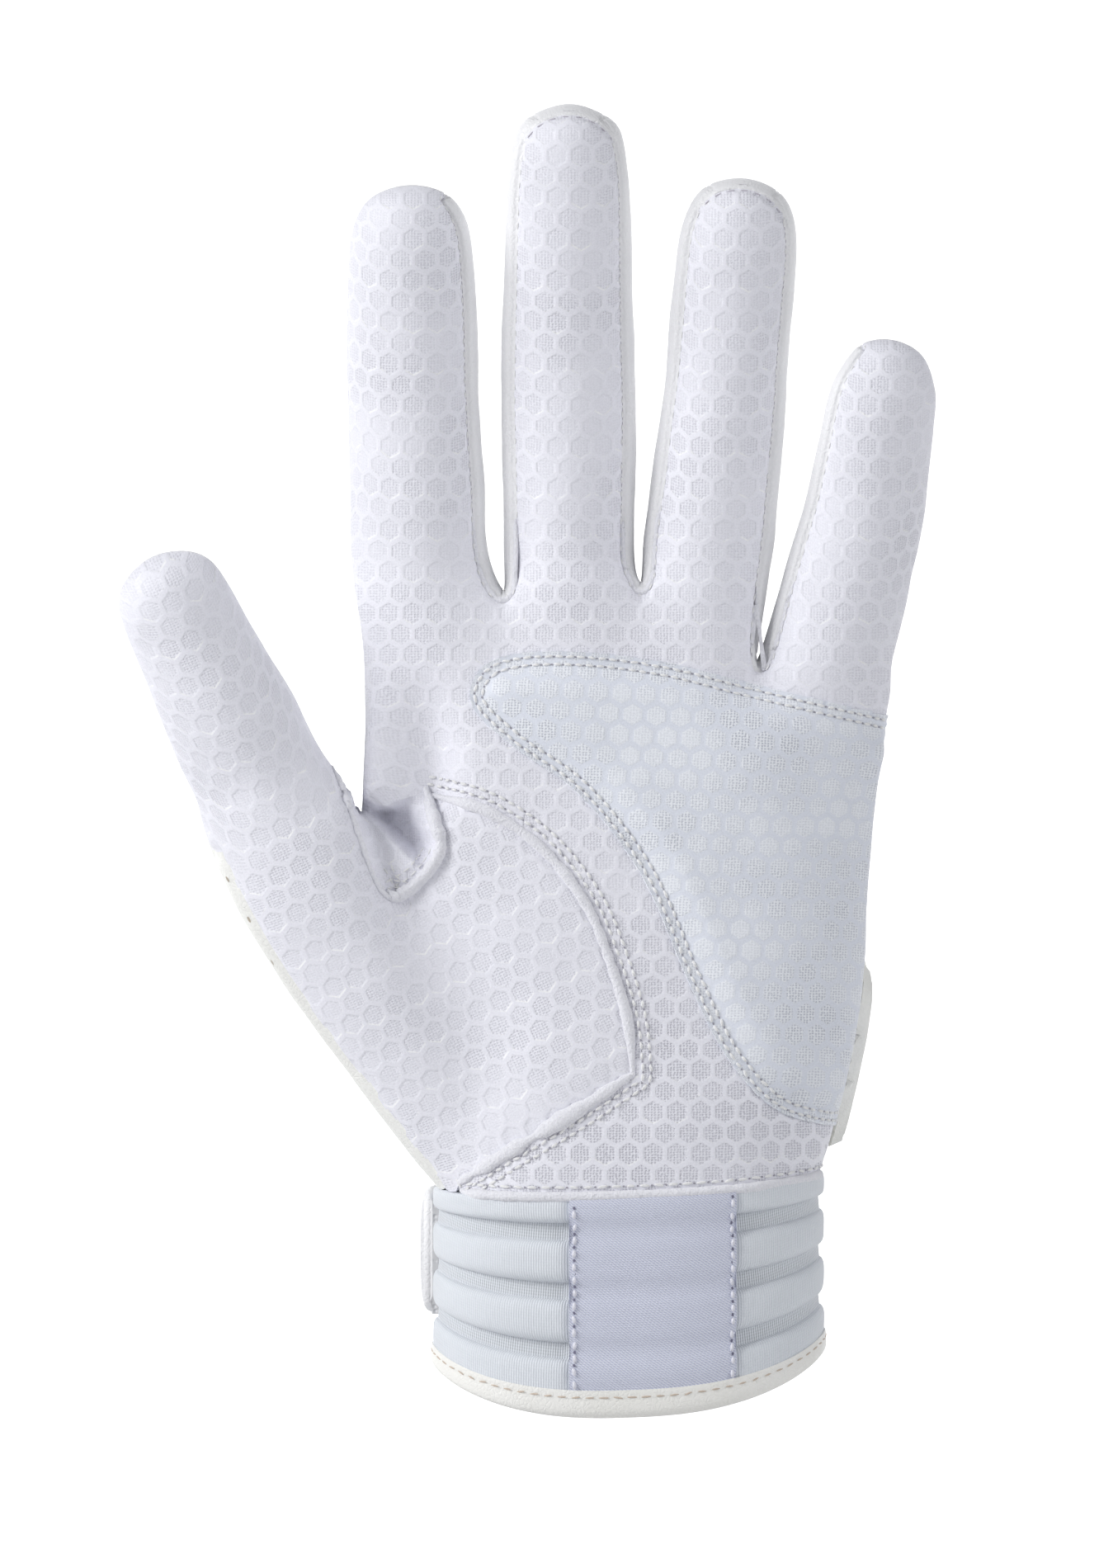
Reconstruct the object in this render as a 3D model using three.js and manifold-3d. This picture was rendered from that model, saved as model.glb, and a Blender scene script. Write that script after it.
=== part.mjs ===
// A batting glove for the left hand, worn palm to the viewer with the fingers up.
// The skin is one smooth hand-shaped surface, cut into the panels that are sewn together,
// and each panel is a sheet of cloth or leather with a seam gap to its neighbours.
// Millimetres, +Z towards the fingertips, +Y towards the back of the hand, +X towards the
// little finger. The origin is the middle of the wrist opening, level with the rim at its sides.
import * as THREE from 'three';
import { mergeVertices } from 'three/addons/utils/BufferGeometryUtils.js';
import Module from 'manifold-3d';

const wasm = await Module();
wasm.setup();

// Cloth and seams
const CLOTH = 1.2;
const SEAM_GAP = 0.4;
const LAYER_GAP = 0.3;

// Finger stalls: centre of the root crease, lean to the little finger's side below and above the
// middle crease, lengths from crease to crease and on to the tip, and full widths and depths.
const FINGERS = [
  {
    name: 'index', root: [-34.3, 0, 135], lean: -3, upperLean: -0.5, toMiddle: 22.3, toTip: 34.8,
    width: { root: 22.6, middle: 21.7, pad: 20.8 }, depth: { root: 20, middle: 18.6, pad: 17.2 },
    fourchettes: ['little'], leatherTip: false,
  },
  {
    name: 'middle', root: [-9.8, 0.8, 135.7], lean: 0, upperLean: 0, toMiddle: 23.9, toTip: 45.6,
    width: { root: 21.4, middle: 22.2, pad: 20.4 }, depth: { root: 20.5, middle: 19, pad: 17.4 },
    fourchettes: ['thumb', 'little'], leatherTip: true,
  },
  {
    name: 'ring', root: [13.4, 0.4, 135.7], lean: 6, upperLean: 5, toMiddle: 22.4, toTip: 35.2,
    width: { root: 21.2, middle: 20, pad: 19.8 }, depth: { root: 19.6, middle: 18, pad: 16.8 },
    fourchettes: ['thumb', 'little'], leatherTip: true,
  },
  {
    name: 'little', root: [34.1, -0.8, 121.5], lean: 14.5, upperLean: 9, toMiddle: 18.7, toTip: 27.6,
    width: { root: 20.8, middle: 19, pad: 17.6 }, depth: { root: 18, middle: 16.4, pad: 15 },
    fourchettes: ['thumb'], leatherTip: false,
  },
];
const FINGER_CURL = 2;
const FINGER_UPPER_CURL = 9;
const CREASE_LENGTH = 9;
const CREASE_DEPTH = 4.5;
// How far the sizes have gone from middle crease to pad just above the crease, and the pad's place
// between the crease and the tip
const CREASE_TAPER = 0.3;
const FINGER_PAD_SHARE = 0.5;
const THUMB_PAD_SHARE = 0.45;
const FRONT_SEAM_ANGLE = 50;
const FINGER_SQUARENESS = 2.2;
const HAND_SQUARENESS = 2.5;

// Fingertip rings: distance from the tip, and share of the pad's width and depth
const TIP_RINGS = [
  { back: 6.5, share: 0.89 },
  { back: 2, share: 0.6 },
];

// Crotches between neighbouring fingers, at the middle of the hand's thickness
const CROTCHES = [
  [-20.5, 125.6],
  [1.9, 126.9],
  [20.9, 114.6],
];
const CROTCH_ROLL = 2;
const CROTCH_SET_BACK = 0.3;
// Depths of the row through the crotches, as shares of the fingers' depth, and how far its ends are drawn in
const CROTCH_ROW = { endInset: 1.2, end: 0.3, crotch: 0.405, finger: 0.53 };

// Thumb stall: middle of the ring at the web, then as for a finger
const THUMB = {
  root: [-56.9, -6.4, 88.2], lean: -25.8, curl: 9, toCrease: 13.2, toTip: 34.5,
  width: { root: 24.2, crease: 21.8, pad: 19.4 }, depth: { root: 22.5, crease: 19, pad: 16.6 },
};
// The ball of the thumb: where it lies between the palm and the web, its swell, and how full the palm
// is where it joins, as a share of the palm's thickness
const THENAR = { share: 0.6, outward: 2.4, forward: 0.8, fill: 0.84 };

// Cuff: a quilted band with padded channels, open in a slit at the back of the wrist
const CUFF = { halfWidth: 32, halfThick: 20.5, wall: 4.2, tuckClearance: 1 };
// Heights of the sewn grooves between the channels, as shares of the band's height, and their depth
const CUFF_SEAMS = [0.234, 0.565, 0.847];
const CHANNEL_GROOVE = 1.7;
const CUFF_TUCK = 3;
const CUFF_SLIT = 14;
const RIM_DIP = 9;
const BINDING = { height: 3.4, overhang: 0.5, round: 1.2 };
const LABEL = { x: 3.8, width: 27, thickness: 0.8 };
const GUSSET = { margin: 5, thickness: 0.8 };

// Rows across the palm, from the wrist hem up to the knuckles: middle and half of the width,
// half of the thickness, height at the middle and its slope to the little finger's side. The hem
// is set in a step from the crest of the cuff's channels.
const HEM_STEP = 0.8;
const PALM_ROWS = [
  { x: 0, half: CUFF.halfWidth - HEM_STEP, thick: CUFF.halfThick - HEM_STEP, z: 29, slope: 0.035 },
  { x: 0.9, half: 36.6, thick: 17.5, z: 58, slope: 0 },
  { x: -2.5, half: 41.4, thick: 15.5, z: 86, slope: -0.06 },
  { x: -0.9, half: 42.3, thick: 13.5, z: 104, slope: -0.09 },
];
const PALM_COLUMNS = 8;
const PALM_SEAM_SHARE = 0.94;
const BACK_FLATNESS = 0.9;
const INDEX_SIDE = [-44.1, 121.5];
const LITTLE_SIDE = [42.6, 108.5];
const HEM_DIP = 2;

// Sewn outlines in the plane of the palm, each a smooth curve through a few points
const WEB_OUTLINE = [
  [-50, 98], [-48.8, 92], [-45.4, 86], [-42.1, 79.4], [-38.1, 74.5], [-32.3, 78],
  [-29.6, 84], [-31, 90], [-32.3, 93.8], [-36.5, 91.8], [-41.5, 91], [-44.5, 94.5],
];
const THUMB_SEAM = [
  [-33.4, 92.8], [-23, 90], [-13.5, 83.5], [-6.5, 74.5], [-2.5, 65], [0.3, 55.5], [1.2, 46.6],
];
const THUMB_HEM_SEAM = [[-8, 40.5], [-19, 33.8], [-27.5, 28.5]];
// The rest of the thumb panel's outline runs clear of the hand, round the thumb and back to the web
const THUMB_CLEAR = [
  [-45, 15], [-100, 15], [-100, 140], [-60, 140], [-47, 95.5], [-40, 86], [-33, 90],
];
const PAD_OUTLINE = [
  [-19, 114.8], [-8, 115.2], [6, 113.5], [20, 110], [33, 107], [41.2, 105.5], [38.6, 90],
  [37.2, 70], [35, 50], [31, 38.5], [23, 41.5], [15.5, 50], [9.5, 62], [2, 79], [-8, 92],
  [-19, 100], [-25.5, 106.5], [-24.5, 112],
];
// The side guard's outline is in the plane of the hand's side
const GUARD_OUTLINE = [
  [0.4, 42], [0.4, 56], [2.5, 62], [7.5, 68], [12, 69], [14, 62], [14, 44], [11, 36.5], [5, 34.5],
  [1.5, 36.5],
];
const PAD_COVER = 0.9;
const PAD_FOAM = 1.2;
const PAD_FOAM_MARGIN = 2.5;
const GUARD_THICKNESS = 1.6;

// Wrist strap with its hook-and-loop closure
const STRAP = { bottom: 7.8, height: 19.6, thickness: 1.1, from: 126, to: 246, rise: 0.35 };
const HOOK = { from: 208, to: 244, height: 15, thickness: 0.5 };
const LOOP = { from: 200, to: 258, height: 17, thickness: 0.5 };
const PULL_TAB = { to: 271, height: 19.6, thickness: 1.1, blunt: 0.35 };

const MATERIALS = {
  hex_mesh: new THREE.MeshStandardMaterial({ color: 0xe9e9f3, roughness: 0.8 }),
  pad_mesh: new THREE.MeshStandardMaterial({ color: 0xd9deea, roughness: 0.8 }),
  leather: new THREE.MeshStandardMaterial({ color: 0xf0f0ed, roughness: 0.5 }),
  foam: new THREE.MeshStandardMaterial({ color: 0xe4e2da, roughness: 0.95 }),
  cuff_knit: new THREE.MeshStandardMaterial({ color: 0xe6e9ef, roughness: 0.85 }),
  twill: new THREE.MeshStandardMaterial({ color: 0xdcdcf0, roughness: 0.75 }),
  binding: new THREE.MeshStandardMaterial({ color: 0xf3f2ee, roughness: 0.5 }),
  hook_tape: new THREE.MeshStandardMaterial({ color: 0xe8e8ea, roughness: 0.95 }),
};

const degrees = THREE.MathUtils.degToRad;
const mix = THREE.MathUtils.lerp;
const vector = (x, y, z) => new THREE.Vector3(x, y, z);
const glove = new THREE.Group();

function addPiece(name, material, geometry) {
  geometry.computeVertexNormals();
  const piece = new THREE.Mesh(geometry, MATERIALS[material]);
  piece.name = name;
  glove.add(piece);
}

// A signed power, for the rounded-square sections of the hand and the cuff
const signedPower = (value, power) => Math.sign(value) * Math.abs(value) ** power;

// The control cage of the skin: shared points, and four-sided faces that each carry a panel name
const cage = { points: [], faces: [] };

function addPoint(point) {
  cage.points.push(point);
  return cage.points.length - 1;
}

// Joins two rings of points with a band of faces. panelOf gives each side's panel, or null for a hole.
function addBand(lower, upper, panelOf) {
  lower.forEach((point, side) => {
    const next = (side + 1) % lower.length;
    const panel = panelOf(side);
    if (panel) cage.faces.push({ loop: [point, lower[next], upper[next], upper[side]], panel });
  });
}

// The eight places round a stall: front middle, front seam, side middle, back seam, back middle
// and so on, going by the little finger's side
const SIDE_ANGLES = [0, FRONT_SEAM_ANGLE, 90, 180 - FRONT_SEAM_ANGLE, 180,
  180 + FRONT_SEAM_ANGLE, 270, 360 - FRONT_SEAM_ANGLE].map(degrees);

// The direction of a stall that leans sideways and curls to the palm, with its width and front
function stallFrame(lean, curl) {
  const across = vector(Math.cos(lean), 0, -Math.sin(lean));
  const upright = vector(Math.sin(lean), 0, Math.cos(lean));
  const along = upright.clone().multiplyScalar(Math.cos(curl)).add(vector(0, -Math.sin(curl), 0));
  return { across, along, front: along.clone().cross(across).negate() };
}

function addRing(middle, frame, width, depth) {
  return SIDE_ANGLES.map((angle) => {
    const sideways = signedPower(Math.sin(angle), 2 / FINGER_SQUARENESS) * width / 2;
    const forward = signedPower(Math.cos(angle), 2 / FINGER_SQUARENESS) * depth / 2;
    return addPoint(middle.clone().addScaledVector(frame.across, sideways)
      .addScaledVector(frame.front, forward));
  });
}

// Closes a stall's last ring with four faces round the tip
function addTip(ring, tip, panelOf) {
  const end = addPoint(tip);
  for (let side = 0; side < ring.length; side += 2) {
    const loop = [ring[side], ring[side + 1], ring[(side + 2) % ring.length], end];
    cage.faces.push({ loop, panel: panelOf(side) });
  }
}

// How much of the palm side's drop a place on the wrist takes, from the cosine of its turn
const palmSide = (cosine) => Math.max(0, cosine) ** 1.5;

// Palm rows, each a ring of points: the front from the thumb's side, the little finger's side,
// the back, and the thumb's side
const BACK_START = PALM_COLUMNS + 2;
const THUMB_SIDE = 2 * PALM_COLUMNS + 3;
const backColumn = (column) => BACK_START + PALM_COLUMNS - column;

function palmRow(row, rowNumber) {
  const round = (share) => (1 - Math.abs(share) ** HAND_SQUARENESS) ** (1 / HAND_SQUARENESS);
  const place = (share, turn, fullness = round(share)) => {
    const x = row.x + row.half * share;
    const depth = row.thick * fullness;
    const atHem = rowNumber === 0;
    const cosine = fullness ** (HAND_SQUARENESS / 2);
    const dip = atHem && turn < 0 ? HEM_DIP * palmSide(cosine) : 0;
    const flatness = turn > 0 && !atHem ? BACK_FLATNESS : 1;
    return addPoint(vector(x, depth * turn * flatness, row.z + row.slope * x - dip));
  };
  const shares = Array.from({ length: PALM_COLUMNS + 1 },
    (_, column) => PALM_SEAM_SHARE * (2 * column / PALM_COLUMNS - 1));
  const opensToThumb = rowNumber === 1;
  const front = shares.map((share, column) => (
    opensToThumb && column === 0 ? place(share, -1, THENAR.fill) : place(share, -1)));
  const littleSide = place(1, 0);
  const back = shares.toReversed().map((share) => place(share, 1));
  return [...front, littleSide, ...back, opensToThumb ? null : place(-1, 0)];
}

// The row through the finger crotches, with a separate point at the middle of each crotch
function crotchRow() {
  const nearest = [INDEX_SIDE, ...CROTCHES, LITTLE_SIDE];
  const between = FINGERS.map((finger, k) => {
    const z = (nearest[k][1] + nearest[k + 1][1]) / 2 - CROTCH_ROLL;
    return [finger.root[0] - Math.tan(degrees(finger.lean)) * (finger.root[2] - z), z];
  });
  const columns = [];
  nearest.forEach((place, k) => {
    const outer = k === 0 || k === nearest.length - 1;
    const finger = FINGERS[Math.min(k, FINGERS.length - 1)];
    columns.push({
      x: place[0] - (outer ? Math.sign(place[0]) * CROTCH_ROW.endInset : 0),
      y: finger.depth.root * (outer ? CROTCH_ROW.end : CROTCH_ROW.crotch),
      z: place[1] - (outer ? 0 : CROTCH_ROLL),
    });
    if (k < between.length) {
      columns.push({ x: between[k][0], y: FINGERS[k].depth.root * CROTCH_ROW.finger, z: between[k][1] });
    }
  });
  const front = columns.map((c) => addPoint(vector(c.x, -c.y, c.z)));
  const littleSide = addPoint(vector(LITTLE_SIDE[0], 0, LITTLE_SIDE[1]));
  const back = columns.toReversed().map((c) => addPoint(vector(c.x, c.y, c.z)));
  const thumbSide = addPoint(vector(INDEX_SIDE[0], 0, INDEX_SIDE[1]));
  return [...front, littleSide, ...back, thumbSide];
}

const rows = [...PALM_ROWS.map(palmRow), crotchRow()];
const crotchPoints = CROTCHES.map(([x, z]) => addPoint(vector(x, CROTCH_SET_BACK, z)));
const WEB_ROW = 2;

rows.slice(0, -1).forEach((row, k) => {
  addBand(row, rows[k + 1], (side) => {
    if (side >= THUMB_SIDE - 1 && k < WEB_ROW) return null;
    if (side <= PALM_COLUMNS || side === THUMB_SIDE) return 'front';
    return side === THUMB_SIDE - 1 && k === WEB_ROW ? 'front' : 'back';
  });
});

// The panel of each side of a finger stall: two sides of the front, the fourchettes between the
// seams where the finger has them, and the back
function fingerPanel(finger, side) {
  const walls = { little: [1, 2], thumb: [5, 6] };
  for (const wall of finger.fourchettes) {
    if (walls[wall].includes(side)) return `fourchette_${wall}_side`;
  }
  return [0, 1, 6, 7].includes(side) ? 'front' : 'back';
}

const hinges = [];

// One finger stall: its ring in the crotch row, two creases that flex, and the fingertip
FINGERS.forEach((finger, k) => {
  const column = 2 * k;
  const top = rows.at(-1);
  const thumbWall = k === 0 ? top[THUMB_SIDE] : crotchPoints[k - 1];
  const littleWall = k === FINGERS.length - 1 ? top[PALM_COLUMNS + 1] : crotchPoints[k];
  let ring = [top[column + 1], top[column + 2], littleWall, top[backColumn(column + 2)],
    top[backColumn(column + 1)], top[backColumn(column)], thumbWall, top[column]];

  const lower = stallFrame(degrees(finger.lean), degrees(FINGER_CURL));
  const upper = stallFrame(degrees(finger.upperLean), degrees(FINGER_UPPER_CURL));
  const root = vector(...finger.root);
  const middle = root.clone().addScaledVector(lower.along, finger.toMiddle);
  const { width, depth } = finger;
  const half = CREASE_LENGTH / 2;
  const onLower = (distance) => {
    const share = Math.max(0, distance / finger.toMiddle);
    return addRing(root.clone().addScaledVector(lower.along, distance), lower,
      mix(width.root, width.middle, share), mix(depth.root, depth.middle, share));
  };
  const onUpper = (distance, wide, deep) => addRing(
    middle.clone().addScaledVector(upper.along, distance), upper, wide, deep);
  const aboveCrease = (size) => mix(size.middle, size.pad, CREASE_TAPER);

  const stretches = [
    ['root', onLower(-half)],
    ['root_crease', onLower(half)],
    ['lower', onLower(finger.toMiddle - half)],
    ['middle_crease', onUpper(half, aboveCrease(width), aboveCrease(depth))],
    ['upper', onUpper(mix(half, finger.toTip, FINGER_PAD_SHARE), width.pad, depth.pad)],
    ...TIP_RINGS.map(({ back, share }) => ['upper',
      onUpper(finger.toTip - back, width.pad * share, depth.pad * share)]),
  ];
  for (const [stretch, next] of stretches) {
    addBand(ring, next, (side) => {
      const panel = fingerPanel(finger, side);
      if (stretch.endsWith('crease')) return `${finger.name}_${stretch}`;
      if (stretch !== 'root') return `${finger.name}_${stretch}_${panel}`;
      if (!panel.startsWith('fourchette')) return panel;
      return `crotch_${panel.endsWith('little_side') ? k : k - 1}`;
    });
    ring = next;
  }
  const tip = middle.clone().addScaledVector(upper.along, finger.toTip);
  addTip(ring, tip, (side) => {
    const front = side === 0 || side === 6;
    return `${finger.name}_upper_${front && !finger.leatherTip ? 'front' : 'back'}`;
  });
  hinges.push({ name: `${finger.name}_root`, frame: lower, middle: root, depth: depth.root });
  hinges.push({ name: `${finger.name}_middle`, frame: upper, middle, depth: depth.middle });
});

// The thumb stall, from the opening in the palm's edge past the web and one crease to the tip
{
  const edge = [rows[1][0], rows[2][0], rows[2][THUMB_SIDE], rows[2][backColumn(0)],
    rows[1][backColumn(0)], rows[0][backColumn(0)], rows[0][THUMB_SIDE], rows[0][0]];
  const frame = stallFrame(degrees(THUMB.lean), degrees(THUMB.curl));
  const root = vector(...THUMB.root);
  const { width, depth } = THUMB;
  const ringAt = (distance, wide, deep) => addRing(
    root.clone().addScaledVector(frame.along, distance), frame, wide, deep);
  const half = CREASE_LENGTH / 2;
  const length = THUMB.toCrease + THUMB.toTip;
  const web = ringAt(0, width.root, depth.root);
  const thenar = edge.map((point, side) => {
    const outward = Math.min(0, Math.sin(SIDE_ANGLES[side])) * THENAR.outward;
    const forward = Math.max(0, Math.cos(SIDE_ANGLES[side])) * THENAR.forward;
    return addPoint(cage.points[point].clone().lerp(cage.points[web[side]], THENAR.share)
      .addScaledVector(frame.across, outward).addScaledVector(frame.front, forward));
  });
  const stretches = [
    ['root', thenar],
    ['root', web],
    ['root', ringAt(THUMB.toCrease - half, width.crease, depth.crease)],
    ['crease', ringAt(THUMB.toCrease + half, width.crease, depth.crease)],
    ['upper', ringAt(mix(THUMB.toCrease + half, length, THUMB_PAD_SHARE), width.pad, depth.pad)],
    ...TIP_RINGS.map(({ back, share }) => ['upper',
      ringAt(length - back, width.pad * share, depth.pad * share)]),
  ];
  let ring = edge;
  stretches.forEach(([stretch, next], step) => {
    addBand(ring, next, (side) => {
      const front = [0, 1, 6, 7].includes(side) || (step < 2 && side === 2);
      if (stretch === 'crease') return 'thumb_crease';
      if (stretch === 'root') return front ? 'front' : 'back';
      return `thumb_upper_${front ? 'front' : 'back'}`;
    });
    ring = next;
  });
  addTip(ring, root.clone().addScaledVector(frame.along, length),
    (side) => `thumb_upper_${side === 0 || side === 6 ? 'front' : 'back'}`);
  const middle = root.clone().addScaledVector(frame.along, THUMB.toCrease);
  hinges.push({ name: 'thumb_flex', frame, middle, depth: depth.crease });
}

// Edges, and each point's neighbours, of a four-sided mesh
function meshLinks({ points, faces }) {
  const edges = new Map();
  faces.forEach(({ loop }, face) => loop.forEach((a, corner) => {
    const b = loop[(corner + 1) % loop.length];
    const key = Math.min(a, b) * points.length + Math.max(a, b);
    if (!edges.has(key)) edges.set(key, { ends: [a, b], faces: [] });
    edges.get(key).faces.push(face);
  }));
  const links = points.map(() => ({ edges: [], faces: [], rim: [] }));
  for (const edge of edges.values()) {
    edge.ends.forEach((end, i) => {
      links[end].edges.push(edge.ends[1 - i]);
      if (edge.faces.length === 1) links[end].rim.push(edge.ends[1 - i]);
    });
  }
  faces.forEach(({ loop }, face) => loop.forEach((point) => links[point].faces.push(face)));
  return { edges, links };
}

const sumOf = (points) => points.reduce((sum, point) => sum.add(point), vector(0, 0, 0));

// Where each point of a mesh ends up after endless Catmull-Clark smoothing
function limitPoints(mesh) {
  const { links } = meshLinks(mesh);
  return mesh.points.map((point, k) => {
    const { edges, faces, rim } = links[k];
    if (rim.length) {
      return sumOf(rim.map((end) => mesh.points[end])).addScaledVector(point, 4).divideScalar(6);
    }
    const n = edges.length;
    const opposite = faces.map((face) => {
      const { loop } = mesh.faces[face];
      return mesh.points[loop[(loop.indexOf(k) + 2) % 4]];
    });
    return sumOf(opposite).addScaledVector(sumOf(edges.map((end) => mesh.points[end])), 4)
      .addScaledVector(point, n * n).divideScalar(n * (n + 5));
  });
}

// Moves the cage's points out until the smoothed skin passes through where they were placed
function fitCage(mesh, rounds) {
  const wanted = mesh.points.map((point) => point.clone());
  for (let round = 0; round < rounds; round++) {
    const reached = limitPoints(mesh);
    mesh.points.forEach((point, k) => point.add(wanted[k]).sub(reached[k]));
  }
}

// One Catmull-Clark step: each face becomes four
function subdivide(mesh) {
  const { edges, links } = meshLinks(mesh);
  const centres = mesh.faces.map(({ loop }) => sumOf(loop.map((k) => mesh.points[k])).divideScalar(4));
  const points = mesh.points.map((point, k) => {
    const { edges: ends, faces, rim } = links[k];
    if (rim.length) {
      return sumOf(rim.map((end) => mesh.points[end])).addScaledVector(point, 6).divideScalar(8);
    }
    const n = ends.length;
    const around = sumOf(faces.map((face) => centres[face])).divideScalar(n);
    const spokes = sumOf(ends.map((end) => mesh.points[end])).divideScalar(n);
    return around.add(spokes).addScaledVector(point, n - 2).divideScalar(n);
  });
  const faceStart = points.length;
  points.push(...centres);
  const edgePoint = new Map();
  for (const [key, edge] of edges) {
    const ends = edge.ends.map((k) => mesh.points[k]);
    const inside = edge.faces.length === 2 ? edge.faces.map((face) => centres[face]) : [];
    edgePoint.set(key, points.length);
    points.push(sumOf([...ends, ...inside]).divideScalar(2 + inside.length));
  }
  const midway = (a, b) => edgePoint.get(Math.min(a, b) * mesh.points.length + Math.max(a, b));
  const faces = mesh.faces.flatMap(({ loop, panel }, face) => loop.map((point, corner) => {
    const next = loop[(corner + 1) % 4];
    const last = loop[(corner + 3) % 4];
    return { loop: [point, midway(point, next), faceStart + face, midway(last, point)], panel };
  }));
  return { points, faces };
}

const FIT_ROUNDS = 10;
fitCage(cage, FIT_ROUNDS);
const skin = subdivide(cage);
skin.points = limitPoints(skin);
skin.normals = skin.points.map(() => vector(0, 0, 0));
for (const { loop } of skin.faces) {
  const [a, b, c, d] = loop.map((k) => skin.points[k]);
  const normal = c.clone().sub(a).cross(d.clone().sub(b));
  loop.forEach((k) => skin.normals[k].add(normal));
}
skin.normals.forEach((normal) => normal.normalize());

function indexedGeometry(points, triangles) {
  return new THREE.BufferGeometry().setFromPoints(points).setIndex(triangles);
}

// The sharpest corner that is mitred in full, as the cosine of half of its turn
const SHARPEST_MITRE = 0.4;

// A sheet over some faces of the skin, from one height above it to another, drawn in from its
// own edges so that it leaves half a seam gap to what it is sewn to
function sheet(chosen, low, high, inset = SEAM_GAP / 2) {
  const faces = skin.faces.filter(chosen);
  const used = [...new Set(faces.flatMap(({ loop }) => loop))];
  const place = new Map(used.map((k, order) => [k, order]));
  const patch = {
    points: used.map((k) => skin.points[k]),
    faces: faces.map(({ loop }) => ({ loop: loop.map((k) => place.get(k)) })),
  };
  const { edges } = meshLinks(patch);
  const inward = patch.points.map(() => []);
  for (const { ends, faces: [, inside] } of edges.values()) {
    if (inside !== undefined) continue;
    const along = patch.points[ends[1]].clone().sub(patch.points[ends[0]]);
    ends.forEach((end) => inward[end].push(skin.normals[used[end]].clone().cross(along).normalize()));
  }
  const drawnIn = patch.points.map((point, k) => {
    if (!inward[k].length) return point;
    const mitre = sumOf(inward[k]).normalize();
    return point.clone().addScaledVector(mitre, inset / Math.max(SHARPEST_MITRE, mitre.dot(inward[k][0])));
  });
  const raised = (height) => drawnIn.map(
    (point, k) => point.clone().addScaledVector(skin.normals[used[k]], height));
  const under = used.length;
  const triangles = patch.faces.flatMap(({ loop: [a, b, c, d] }) => [
    a, b, c, a, c, d, under + a, under + c, under + b, under + a, under + d, under + c]);
  for (const { ends: [a, b], faces: [, inside] } of edges.values()) {
    if (inside === undefined) triangles.push(b, a, under + a, b, under + a, under + b);
  }
  return indexedGeometry([...raised(high), ...raised(low)], triangles);
}

const panelIs = (name) => ({ panel }) => panel === name;

function toSolid(geometry) {
  const bare = new THREE.BufferGeometry().setAttribute('position', geometry.getAttribute('position'));
  bare.setIndex(geometry.index);
  const merged = mergeVertices(bare, 1e-4);
  return new wasm.Manifold(new wasm.Mesh({
    numProp: 3,
    vertProperties: merged.attributes.position.array,
    triVerts: new Uint32Array(merged.index.array),
  }));
}

function toGeometry(solid) {
  const mesh = solid.getMesh();
  const geometry = new THREE.BufferGeometry();
  geometry.setAttribute('position', new THREE.BufferAttribute(new Float32Array(mesh.vertProperties), 3));
  return geometry.setIndex(new THREE.BufferAttribute(new Uint32Array(mesh.triVerts), 1));
}

// An upright cutter through the hand: an outline in the plane of the palm, grown by a margin, and
// reaching from one depth to another
function cutter(outline, margin, fromY, toY) {
  const turn = Math.sign(THREE.ShapeUtils.area(outline));
  const grown = outline.map((p, k) => {
    const before = outline[(k + outline.length - 1) % outline.length];
    const after = outline[(k + 1) % outline.length];
    const along = after.clone().sub(before).normalize();
    return new THREE.Vector2(p.x + turn * along.y * margin, p.y - turn * along.x * margin);
  });
  const section = new THREE.Shape(grown);
  const prism = new THREE.ExtrudeGeometry(section, { depth: toY - fromY, bevelEnabled: false });
  return prism.rotateX(Math.PI / 2).translate(0, toY, 0);
}

const flat = (points) => points.map(([x, z]) => new THREE.Vector2(x, z));
const OUTLINE_STEPS = 3;

// A smooth closed outline through its points
function closedOutline(points) {
  const curve = new THREE.CatmullRomCurve3(points.map(([x, z]) => vector(x, z, 0)), true);
  const places = curve.getPoints(points.length * OUTLINE_STEPS).slice(0, -1);
  return places.map((p) => new THREE.Vector2(p.x, p.y));
}

function openCurve(points) {
  return new THREE.SplineCurve(flat(points)).getPoints((points.length - 1) * OUTLINE_STEPS);
}

// Palm side: the palm panel with the finger roots, the thumb panel, and the gusset in the web.
// The cutters reach well past the hand.
const REACH = 2.5 * CUFF.halfWidth;
const frontSkin = toSolid(sheet(panelIs('front'), -CLOTH, 0));
const webOutline = closedOutline(WEB_OUTLINE);
const thumbOutline = [...openCurve(THUMB_SEAM), ...openCurve(THUMB_HEM_SEAM), ...flat(THUMB_CLEAR)];
const webCutter = (margin) => toSolid(cutter(webOutline, margin, -REACH, REACH));
const thumbCutter = (margin) => toSolid(cutter(thumbOutline, margin, -REACH, REACH));
const palmSkin = frontSkin.subtract(webCutter(SEAM_GAP)).subtract(thumbCutter(SEAM_GAP));
const thumbSkin = frontSkin.intersect(thumbCutter(0)).subtract(webCutter(SEAM_GAP));
addPiece('palm_panel', 'hex_mesh', toGeometry(palmSkin));
addPiece('thumb_panel', 'hex_mesh', toGeometry(thumbSkin));
addPiece('web_gusset', 'hex_mesh', toGeometry(frontSkin.intersect(webCutter(0))));

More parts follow.
